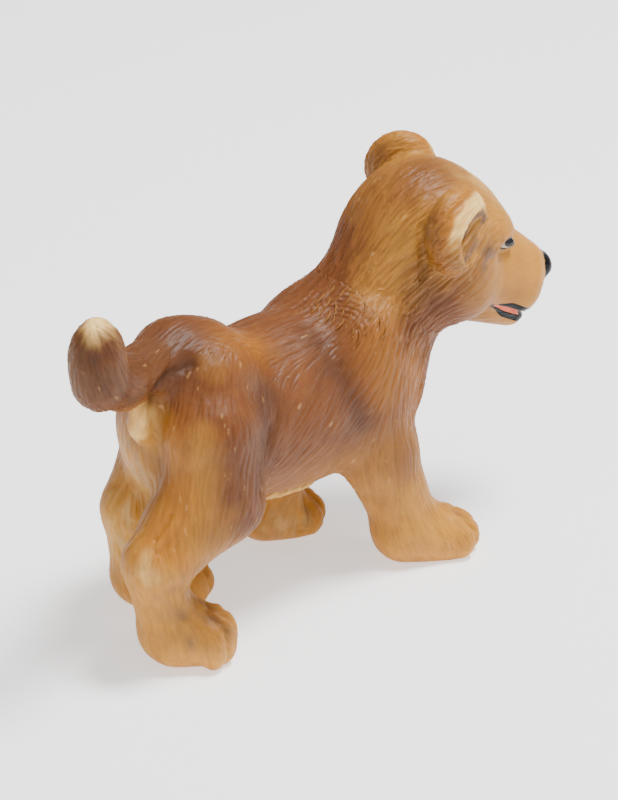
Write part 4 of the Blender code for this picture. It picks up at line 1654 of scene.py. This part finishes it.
@dataclass(frozen=True)
class AirbrushedPvc:
    """Soft solid PVC moulded in tan and airbrushed.

    The eye sees a waxy, half-glossy skin that lets a little light in, which is IOR 1.5 with a broad soft shine
    and shallow scatter. The tan varies in slow clouds, the sprayed paint thins out at its edges, raised strands
    are painted paler than their valleys and the creases as painted highlight and shade, and scratches are
    painted pale, partly as wear and partly as painted glints.
    """

    name: str = "airbrushed_soft_pvc"
    bare: str = "#C48830"
    worn: str = "#A9702C"
    chip_and_glint: str = "#C89A62"
    colours: tuple[tuple[Paint, str], ...] = (
        (Paint.BROWN, "#6B3D1E"),
        (Paint.OCHRE, "#A8681F"),
        (Paint.UMBER, "#4E2E1C"),
        (Paint.GREY, "#6E4F38"),
        (Paint.CREAM, "#F4C878"),
        (Paint.INK, "#050505"),
    )
    mottle_width: float = 1.613
    cloud_width: float = 3.85
    grain_width: float = 0.3846
    grain_height: float = 0.05
    scatter_depth: float = 1.2
    chip_and_glint_share: float = 0.28

    def build(self) -> bpy.types.Material:
        """Make the material.

        Returns:
            The material, which reads the skin's paint layers.
        """
        made, tree = new_material(self.name)
        place = add_node(tree, "ShaderNodeTexCoord").outputs["Object"]
        mottle = add_node(
            tree, "ShaderNodeTexNoise",
            {"Vector": place, "Scale": cells_a_metre(self.mottle_width), "Detail": 4.0, "Roughness": 0.7},
        ).outputs["Fac"]
        # The tan of the moulding, with the slow clouds that the second tone makes in it.
        clouds = add_node(
            tree, "ShaderNodeTexNoise",
            {"Vector": place, "Scale": cells_a_metre(self.cloud_width), "Detail": 5.0, "Roughness": 0.65},
        ).outputs["Fac"]
        cloud = add_node(
            tree, "ShaderNodeMapRange", {"Value": clouds, "From Min": 0.42, "From Max": 0.68, "To Max": 0.75}
        ).outputs["Result"]
        colour = add_node(
            tree, "ShaderNodeMix", {0: cloud, 6: linear(self.bare), 7: linear(self.worn)}, data_type="RGBA"
        ).outputs[2]
        # Each sprayed colour, whose cover the mottle makes slightly uneven.
        uneven = add_node(
            tree, "ShaderNodeMapRange",
            {"Value": mottle, "From Min": 0.3, "From Max": 0.7, "To Min": 0.94, "To Max": 1.04},
        ).outputs["Result"]
        for paint, tint in self.colours:
            amount = add_node(tree, "ShaderNodeAttribute", attribute_name=paint.value).outputs["Fac"]
            cover = add_node(
                tree, "ShaderNodeMath", {0: amount, 1: uneven}, operation="MULTIPLY", use_clamp=True
            ).outputs[0]
            colour = add_node(
                tree, "ShaderNodeMix", {0: cover, 6: colour, 7: linear(tint)}, data_type="RGBA"
            ).outputs[2]
        # Scratches bare a paler tan, and strands catch the light on their crests.
        # Scratches are paler, partly bared tan and partly painted glints, and the strand shading is painted
        # highlight on crests and painted shade in valleys and creases.
        scratch = add_node(tree, "ShaderNodeAttribute", attribute_name=Relief.SCRATCH.value).outputs["Fac"]
        rubbed_and_glint = add_node(
            tree, "ShaderNodeMath", {0: scratch, 1: self.chip_and_glint_share}, operation="MULTIPLY"
        ).outputs[0]
        colour = add_node(
            tree, "ShaderNodeMix", {0: rubbed_and_glint, 6: colour, 7: linear(self.chip_and_glint)}, data_type="RGBA"
        ).outputs[2]
        strand = add_node(tree, "ShaderNodeAttribute", attribute_name=Relief.STRAND.value).outputs["Fac"]
        shade = add_node(
            tree, "ShaderNodeMapRange", {"Value": strand, "To Min": 0.82, "To Max": 1.18}
        ).outputs["Result"]
        colour = add_node(tree, "ShaderNodeVectorMath", {0: colour, 1: shade}, operation="MULTIPLY").outputs[0]
        # The mould's own grain is a few hundredths of a millimetre wide, too fine to show, so it is coarser.
        grain = add_node(
            tree, "ShaderNodeTexNoise",
            {"Vector": place, "Scale": cells_a_metre(self.grain_width), "Detail": 2.0},
        ).outputs["Fac"]
        bump = add_node(
            tree, "ShaderNodeBump", {"Height": grain, "Strength": 0.45, "Distance": self.grain_height * MM}
        ).outputs["Normal"]
        rough = add_node(
            tree, "ShaderNodeMapRange", {"Value": mottle, "To Min": 0.38, "To Max": 0.56}
        ).outputs["Result"]
        shader = add_node(
            tree, "ShaderNodeBsdfPrincipled",
            {
                "Base Color": colour, "Roughness": rough, "IOR": 1.5, "Specular IOR Level": 0.2, "Normal": bump,
                "Subsurface Weight": 0.08, "Subsurface Scale": self.scatter_depth * MM,
            },
        )
        add_node(tree, "ShaderNodeOutputMaterial", {"Surface": shader.outputs["BSDF"]})
        return made


@dataclass(frozen=True)
class BrushedEnamel:
    """Glossy hobby enamel laid on with a fine brush.

    The eye sees an even film with a sharp shine and a slight pooling, about a millimetre from pool to pool.
    """

    name: str
    colour: str
    pooled: str
    pool_width: float = 1.111
    film_height: float = 0.05

    def build(self) -> bpy.types.Material:
        """Make the material.

        Returns:
            The material.
        """
        made, tree = new_material(self.name)
        place = add_node(tree, "ShaderNodeTexCoord").outputs["Object"]
        pool = add_node(
            tree, "ShaderNodeTexNoise",
            {"Vector": place, "Scale": cells_a_metre(self.pool_width), "Detail": 2.0},
        ).outputs["Fac"]
        colour = add_node(
            tree, "ShaderNodeMix", {0: pool, 6: linear(self.colour), 7: linear(self.pooled)}, data_type="RGBA"
        ).outputs[2]
        bump = add_node(
            tree, "ShaderNodeBump", {"Height": pool, "Strength": 0.2, "Distance": self.film_height * MM}
        ).outputs["Normal"]
        shader = add_node(
            tree, "ShaderNodeBsdfPrincipled",
            {"Base Color": colour, "Roughness": 0.28, "IOR": 1.5, "Specular IOR Level": 0.08, "Normal": bump},
        )
        add_node(tree, "ShaderNodeOutputMaterial", {"Surface": shader.outputs["BSDF"]})
        return made


@dataclass(frozen=True)
class EyeEnamel:
    """An eye painted by hand in enamel with a fine brush.

    The eye sees ivory, a dark pupil in a thin amber ring and a black lid line, all a little uneven, as the
    brush leaves them, under a clear gloss. Reaches are shares of the eye's half width.
    """

    name: str
    side: Side
    ivory: str = "#B3A790"
    amber: str = "#5A3A1E"
    black: str = "#050505"
    pupil_place: Place = (0.4, 0.0, 0.3)
    pupil_reach: float = 0.58
    amber_reach: float = 0.66
    lid_start: float = 0.74
    edge: float = 0.05
    wobble: float = 0.16
    wobble_width: float = 0.52

    def build(self, head: Head) -> bpy.types.Material:
        """Make the material for one eye.

        Args:
            head: The head, which knows where its eyes are.

        Returns:
            The material.
        """
        made, tree = new_material(self.name)
        place = add_node(tree, "ShaderNodeTexCoord").outputs["Object"]
        long, _, tall = head.eye.half
        local = add_node(
            tree, "ShaderNodeMapping",
            {
                "Vector": place,
                "Location": tuple(value * DRAWN_MM for value in head.world(head.eye.place, self.side)),
                "Rotation": tuple(Matrix(head.axes.tolist()).to_euler()),
                "Scale": tuple(value * DRAWN_MM for value in (long, long, tall)),
            },
            vector_type="TEXTURE",
        ).outputs["Vector"]
        flat = add_node(
            tree, "ShaderNodeVectorMath", {0: local, 1: (1.0, 0.0, 1.0)}, operation="MULTIPLY"
        ).outputs[0]
        # Here a metre is as long as half the eye, so the brush's wobble is set out in those.
        wobble = add_node(
            tree, "ShaderNodeTexNoise",
            {"Vector": local, "Scale": round(long / self.wobble_width, 1), "Detail": 2.0},
            noise_dimensions="3D",
        ).outputs["Fac"]
        uneven = add_node(
            tree, "ShaderNodeMapRange", {"Value": wobble, "To Min": -self.wobble, "To Max": self.wobble}
        ).outputs["Result"]
        colour: NodeValue = linear(self.ivory)
        for middle, reach, tint, covered in (
            (self.pupil_place, self.amber_reach, self.amber, (1.0, 0.0)),
            (self.pupil_place, self.pupil_reach, self.black, (1.0, 0.0)),
            ((0.0, 0.0, 0.0), self.lid_start, self.black, (0.0, 1.0)),
        ):
            away = add_node(
                tree, "ShaderNodeVectorMath", {0: flat, 1: middle}, operation="DISTANCE"
            ).outputs["Value"]
            brushed = add_node(tree, "ShaderNodeMath", {0: away, 1: uneven}, operation="ADD").outputs[0]
            share = add_node(
                tree, "ShaderNodeMapRange",
                {
                    "Value": brushed, "From Min": reach - self.edge, "From Max": reach + self.edge,
                    "To Min": covered[0], "To Max": covered[1],
                },
            ).outputs["Result"]
            colour = add_node(
                tree, "ShaderNodeMix", {0: share, 6: colour, 7: linear(tint)}, data_type="RGBA"
            ).outputs[2]
        shader = add_node(
            tree, "ShaderNodeBsdfPrincipled",
            {"Base Color": colour, "Roughness": 0.22, "IOR": 1.5, "Specular IOR Level": 0.4},
        )
        add_node(tree, "ShaderNodeOutputMaterial", {"Surface": shader.outputs["BSDF"]})
        return made


@dataclass(frozen=True)
class MattPaper:
    """Uncoated white paper: no shine, and fibres that make the white slightly cloudy.

    Real fibres are too fine to show, so they are drawn as clouds of a few millimetres. The paper glows a
    little, as it does under a photographer's lamps.
    """

    name: str = "matt_white_paper"
    cloud_width: float = 3.33
    darkest: float = 0.93
    palest: float = 0.95
    white: str = "#FFFFFF"
    glow: float = 0.8

    def build(self) -> bpy.types.Material:
        """Make the material.

        Returns:
            The material.
        """
        made, tree = new_material(self.name)
        place = add_node(tree, "ShaderNodeTexCoord").outputs["Object"]
        fibre = add_node(
            tree, "ShaderNodeTexNoise", {"Vector": place, "Scale": cells_a_metre(self.cloud_width)}
        ).outputs["Fac"]
        tone = add_node(
            tree, "ShaderNodeMapRange", {"Value": fibre, "To Min": self.darkest, "To Max": self.palest}
        ).outputs["Result"]
        shader = add_node(
            tree, "ShaderNodeBsdfPrincipled",
            {
                "Base Color": tone, "Roughness": 0.9,
                "Emission Color": linear(self.white), "Emission Strength": self.glow,
            },
        )
        add_node(tree, "ShaderNodeOutputMaterial", {"Surface": shader.outputs["BSDF"]})
        return made


@dataclass(frozen=True)
class LockSizes:
    """Sizes of the moulded locks along one guide, in millimetres, and their paint."""

    count: int
    length: float
    width: float
    rise: float
    bend: float
    sink: float = -0.12
    stray: float = 0.3
    brown: float = 0.0
    cream: float = 0.0
    seed: int = 1

    def inputs(self) -> dict[str, float | int]:
        """Name the sizes as the node tree's inputs.

        Returns:
            A value for each input, with lengths in metres.
        """
        lengths = {
            "Length": self.length, "Width": self.width, "Rise": self.rise, "Bend": self.bend, "Sink": self.sink
        }
        shares = {"Stray": self.stray, "Brown": self.brown, "Cream": self.cream}
        metres = {name: value * DRAWN_MM for name, value in lengths.items()}
        return {"Count": self.count, "Seed": self.seed, **metres, **shares}


@dataclass
class MouldedLocks:
    """Raised locks of hair that are set out along guides on the skin with geometry nodes."""

    name: str
    slot: Slot
    guides: Sequence[tuple[Place, Place]]
    lie: Place
    sizes: LockSizes
    guide_steps: int = 10
    spine_steps: int = 10
    ring_sides: int = 8
    smallest: float = 0.7
    largest: float = 1.2

    def guide_mesh(self, cub: Cub) -> bpy.types.Mesh:
        """Lay the guides on the figure, with its normal and the lie of the hair at each point.

        Args:
            cub: The figure.

        Returns:
            A mesh of edges.
        """
        points = np.concatenate([np.linspace(start, end, self.guide_steps) for start, end in self.guides])
        for _ in range(GUIDE_SETTLE_ROUNDS):
            slopes = cub.slopes(points)
            steepness = np.maximum((slopes**2).sum(1), LEAST_SLOPE_SQUARE)
            points = points - slopes * (cub.distance(points) / steepness)[:, None]
        slopes /= np.linalg.norm(slopes, axis=1, keepdims=True)
        edges = [(at, at + 1) for at in range(len(points) - 1) if (at + 1) % self.guide_steps]
        mesh = bpy.data.meshes.new(f"{self.name}_guides")
        mesh.from_pydata((points * DRAWN_MM).tolist(), edges, [])
        for key, vectors in (("facing", slopes), ("lie", np.tile(self.lie, (len(points), 1)))):
            layer = mesh.attributes.new(key, "FLOAT_VECTOR", "POINT")
            layer.data.foreach_set("vector", vectors.astype(np.float32).ravel())
        return mesh

    def tree(self, finish: bpy.types.Material) -> bpy.types.NodeTree:
        """Build the nodes that turn the guides into locks.

        Args:
            finish: The material of the locks.

        Returns:
            The node tree, with one named input a size.
        """
        tree = bpy.data.node_groups.new(f"{self.name}_nodes", "GeometryNodeTree")
        tree.interface.new_socket("Geometry", in_out="INPUT", socket_type="NodeSocketGeometry")
        for label, value in self.sizes.inputs().items():
            kind = "NodeSocketInt" if isinstance(value, int) else "NodeSocketFloat"
            tree.interface.new_socket(label, in_out="INPUT", socket_type=kind)
        tree.interface.new_socket("Geometry", in_out="OUTPUT", socket_type="NodeSocketGeometry")
        given = add_node(tree, "NodeGroupInput").outputs
        guides = add_node(tree, "GeometryNodeMeshToCurve", {"Mesh": given["Geometry"]}).outputs[0]
        spots = add_node(
            tree, "GeometryNodeResampleCurve", {"Curve": guides, "Count": given["Count"]}
        ).outputs[0]
        # A lock is a bent spine with both ends sunk in the skin, swollen between its fine tips.
        rear, front = (
            add_node(tree, "ShaderNodeMath", {0: given["Length"], 1: half}, operation="MULTIPLY").outputs[0]
            for half in (-0.5, 0.5)
        )
        start = add_node(tree, "ShaderNodeCombineXYZ", {"X": rear, "Z": given["Sink"]}).outputs[0]
        middle = add_node(tree, "ShaderNodeCombineXYZ", {"Y": given["Bend"], "Z": given["Rise"]}).outputs[0]
        end = add_node(tree, "ShaderNodeCombineXYZ", {"X": front, "Z": given["Sink"]}).outputs[0]
        spine = add_node(
            tree, "GeometryNodeCurveQuadraticBezier",
            {"Resolution": self.spine_steps, "Start": start, "Middle": middle, "End": end},
        ).outputs[0]
        radius = add_node(tree, "GeometryNodeSplineParameter").outputs["Factor"]
        for operation, amount in (
            ("MULTIPLY", 0.9), ("ADD", 0.06), ("MULTIPLY", math.pi), ("SINE", 0.0), ("MULTIPLY", given["Width"])
        ):
            radius = add_node(tree, "ShaderNodeMath", {0: radius, 1: amount}, operation=operation).outputs[0]
        spine = add_node(tree, "GeometryNodeSetCurveRadius", {"Curve": spine, "Radius": radius}).outputs[0]
        ring = add_node(
            tree, "GeometryNodeCurvePrimitiveCircle", {"Resolution": self.ring_sides, "Radius": 1.0}
        ).outputs[0]
        lock = add_node(
            tree, "GeometryNodeCurveToMesh",
            {"Curve": spine, "Profile Curve": ring, "Fill Caps": True, "Scale": radius},
        ).outputs[0]
        # Each lock faces out of the skin and strays a little from the lie of the hair.
        low, high = (
            add_node(
                tree, "ShaderNodeVectorMath", {0: (end, end, end), "Scale": given["Stray"]}, operation="SCALE"
            ).outputs[0]
            for end in (-1.0, 1.0)
        )
        stray = add_node(
            tree, "FunctionNodeRandomValue", {0: low, 1: high, "Seed": given["Seed"]}, data_type="FLOAT_VECTOR"
        ).outputs[0]
        facing, lie = (
            add_node(
                tree, "GeometryNodeInputNamedAttribute", {"Name": name}, data_type="FLOAT_VECTOR"
            ).outputs[0]
            for name in ("facing", "lie")
        )
        lie = add_node(tree, "ShaderNodeVectorMath", {0: lie, 1: stray}, operation="ADD").outputs[0]
        turned = add_node(
            tree, "FunctionNodeAxesToRotation", {0: facing, 1: lie}, primary_axis="Z", secondary_axis="X"
        ).outputs[0]
        size = add_node(
            tree, "FunctionNodeRandomValue", {2: self.smallest, 3: self.largest, "Seed": given["Seed"]},
            data_type="FLOAT",
        ).outputs[1]
        placed = add_node(
            tree, "GeometryNodeInstanceOnPoints",
            {"Points": spots, "Instance": lock, "Rotation": turned, "Scale": size},
        ).outputs[0]
        body = add_node(tree, "GeometryNodeRealizeInstances", {0: placed}).outputs[0]
        for paint in (Paint.BROWN, Paint.CREAM):
            body = add_node(
                tree, "GeometryNodeStoreNamedAttribute",
                {"Geometry": body, "Name": paint.value, "Value": given[paint.value.capitalize()]},
                data_type="FLOAT", domain="POINT",
            ).outputs[0]
        body = add_node(tree, "GeometryNodeSetShadeSmooth", {0: body}).outputs[0]
        body = add_node(tree, "GeometryNodeSetMaterial", {"Geometry": body, "Material": finish}).outputs[0]
        add_node(tree, "NodeGroupOutput", {0: body})
        return tree

    def build(self, cub: Cub, finish: bpy.types.Material) -> bpy.types.Object:
        """Set the locks out and dress them.

        Args:
            cub: The figure that they lie on.
            finish: Their material.

        Returns:
            The finished piece.
        """
        source = bpy.data.objects.new(f"{self.name}_source", self.guide_mesh(cub))
        bpy.context.scene.collection.objects.link(source)
        modifier = source.modifiers.new("locks", "NODES")
        modifier.node_group = self.tree(finish)
        sizes = self.sizes.inputs()
        for socket in modifier.node_group.interface.items_tree:
            if socket.in_out == "INPUT" and socket.name in sizes:
                modifier[socket.identifier] = sizes[socket.name]
        view = bpy.context.evaluated_depsgraph_get()
        mesh = bpy.data.meshes.new_from_object(
            source.evaluated_get(view), preserve_all_data_layers=True, depsgraph=view
        )
        bpy.data.objects.remove(source)
        made = bpy.data.objects.new(self.name, mesh)
        bpy.context.scene.collection.objects.link(made)
        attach(made, ROOT_BODY)
        return made


SHOULDER_CURLS = MouldedLocks(
    "shoulder_curls", Slot.TRUNK,
    [
        ((2.4, -0.2, 29.2), (3.4, -5.4, 27.4)),
        ((3.7, 0.4, 29.5), (4.6, -6.2, 27.2)),
        ((5.2, 0.0, 30.0), (6.0, -6.6, 27.6)),
    ],
    (-0.8, -0.35, -0.5),
    LockSizes(count=8, length=2.2, width=0.12, rise=0.3, bend=0.8, sink=-0.16, stray=0.35, brown=0.74, seed=4),
)
BELLY_FRINGE = MouldedLocks(
    "belly_fringe", Slot.TRUNK,
    [((-7.6, -4.2, 12.8), (-2.0, -4.6, 11.6)), ((-7.0, -3.4, 12.0), (-1.4, -3.8, 11.0))],
    (-0.7, -0.1, -0.7),
    LockSizes(count=12, length=2.2, width=0.2, rise=0.3, bend=0.3, sink=-0.2, stray=0.3, cream=0.35, seed=7),
)


@dataclass(frozen=True)
class Lamp:
    """A square soft lamp: where it hangs and how wide it is, in millimetres, and its watts."""

    name: str
    place: Place
    size: float
    power: float


@dataclass
class Studio:
    """White surroundings, a pale floor, soft lamps and the camera of the photograph."""

    image_width: float = 618.0
    image_height: float = 800.0
    turned: float = 44.0
    raised: float = 28.0
    pixels_per_mm: float = 9.8
    away: float = 450.0
    anchor: Place = (-3.612, 0.983, 0.0)
    anchor_pixel: tuple[float, float] = (261.5, 578.0)
    sensor: float = 36.0
    nearest: float = 0.01
    furthest: float = 10.0
    floor_half: float = 3.0
    white: str = "#FFFFFF"
    sky_strength: float = 0.38
    aim: Place = (0.0, 0.0, 20.0)
    lamps: Sequence[Lamp] = (
        Lamp("key_softbox", (110, -70, 410), 130, 3.3),
        Lamp("fill_softbox", (240, -300, 200), 260, 0.3),
        Lamp("rear_softbox", (-330, -90, 170), 240, 0.4),
    )

    def camera(self) -> None:
        """Set the camera where the photographer's stood."""
        yaw, pitch = math.radians(self.turned), math.radians(self.raised)
        right = Vector((math.cos(yaw), -math.sin(yaw), 0))
        ahead = Vector((math.sin(yaw), math.cos(yaw), 0))
        up_axis = Vector((0, 0, 1))
        look = ahead * math.cos(pitch) - up_axis * math.sin(pitch)
        up = ahead * math.sin(pitch) + up_axis * math.cos(pitch)
        across = (self.image_width / 2 - self.anchor_pixel[0]) / self.pixels_per_mm
        rise = (self.anchor_pixel[1] - self.image_height / 2) / self.pixels_per_mm
        place = (Vector(self.anchor) + right * across + up * rise - look * self.away) * DRAWN_MM
        data = bpy.data.cameras.new("photo_camera")
        data.sensor_fit = "VERTICAL"
        data.sensor_height = self.sensor
        data.lens = self.sensor * self.away * self.pixels_per_mm / self.image_height
        data.clip_start, data.clip_end = self.nearest, self.furthest
        made = bpy.data.objects.new("photo_camera", data)
        made.matrix_world = Matrix.Translation(place) @ Matrix((right, up, -look)).transposed().to_4x4()
        bpy.context.scene.collection.objects.link(made)
        bpy.context.scene.camera = made

    def hang(self, lamp: Lamp) -> None:
        """Hang a lamp that looks at the figure's middle.

        Args:
            lamp: The lamp.
        """
        data = bpy.data.lights.new(lamp.name, "AREA")
        data.size, data.energy = lamp.size * MM, lamp.power
        made = bpy.data.objects.new(lamp.name, data)
        made.location = Vector(lamp.place) * MM
        made.rotation_euler = (Vector(self.aim) * MM - made.location).to_track_quat("-Z", "Y").to_euler()
        bpy.context.scene.collection.objects.link(made)

    def floor(self) -> None:
        """Lay the sheet that the figure stands on."""
        half = self.floor_half
        corners = [(-half, -half, 0), (half, -half, 0), (half, half, 0), (-half, half, 0)]
        mesh = bpy.data.meshes.new("floor")
        mesh.from_pydata(corners, [], [(0, 1, 2, 3)])
        mesh.materials.append(MattPaper().build())
        made = bpy.data.objects.new("floor", mesh)
        bpy.context.scene.collection.objects.link(made)

    def build(self) -> None:
        """Make the surroundings, the floor, the camera and the lamps."""
        world = bpy.data.worlds.new("white_room")
        world.use_nodes = True
        world.node_tree.nodes.clear()
        light = {"Color": linear(self.white), "Strength": self.sky_strength}
        sky = add_node(world.node_tree, "ShaderNodeBackground", light)
        add_node(world.node_tree, "ShaderNodeOutputWorld", {"Surface": sky.outputs[0]})
        bpy.context.scene.world = world
        self.floor()
        self.camera()
        for lamp in self.lamps:
            self.hang(lamp)


def main() -> None:
    """Build and dress the figure from its classes, report each piece, and set up the studio."""
    logging.basicConfig(level=logging.INFO, format="%(message)s")
    cub, coat = Cub(), Coat()
    skin = Skin.sculpted(cub)
    LOG.info("skin of %d points", len(skin.points))
    coat.spray(skin, cub)
    coat.comb(skin, cub)
    bench = Bench(
        rest=skin,
        pvc=AirbrushedPvc().build(),
        black=BrushedEnamel("black_brush_enamel", "#050505", "#0D0C0D").build(),
        salmon=BrushedEnamel("salmon_brush_enamel", "#D65C3E", "#E07A5C").build(),
    )
    # The skin is cut from its ends inwards, and the trunk is what stays.
    made = cub.head.build(bench) + cub.tail.build(bench, cub.trunk)
    for leg in cub.legs:
        made += leg.build(bench, cub.trunk)
    made += cub.trunk.build(bench)
    made += [locks.build(cub, bench.pvc) for locks in (SHOULDER_CURLS, BELLY_FRINGE)]
    for piece in made:
        LOG.info("%s: %d faces", piece.name, len(piece.data.polygons))
    Studio().build()


if __name__ == "__main__":
    main()
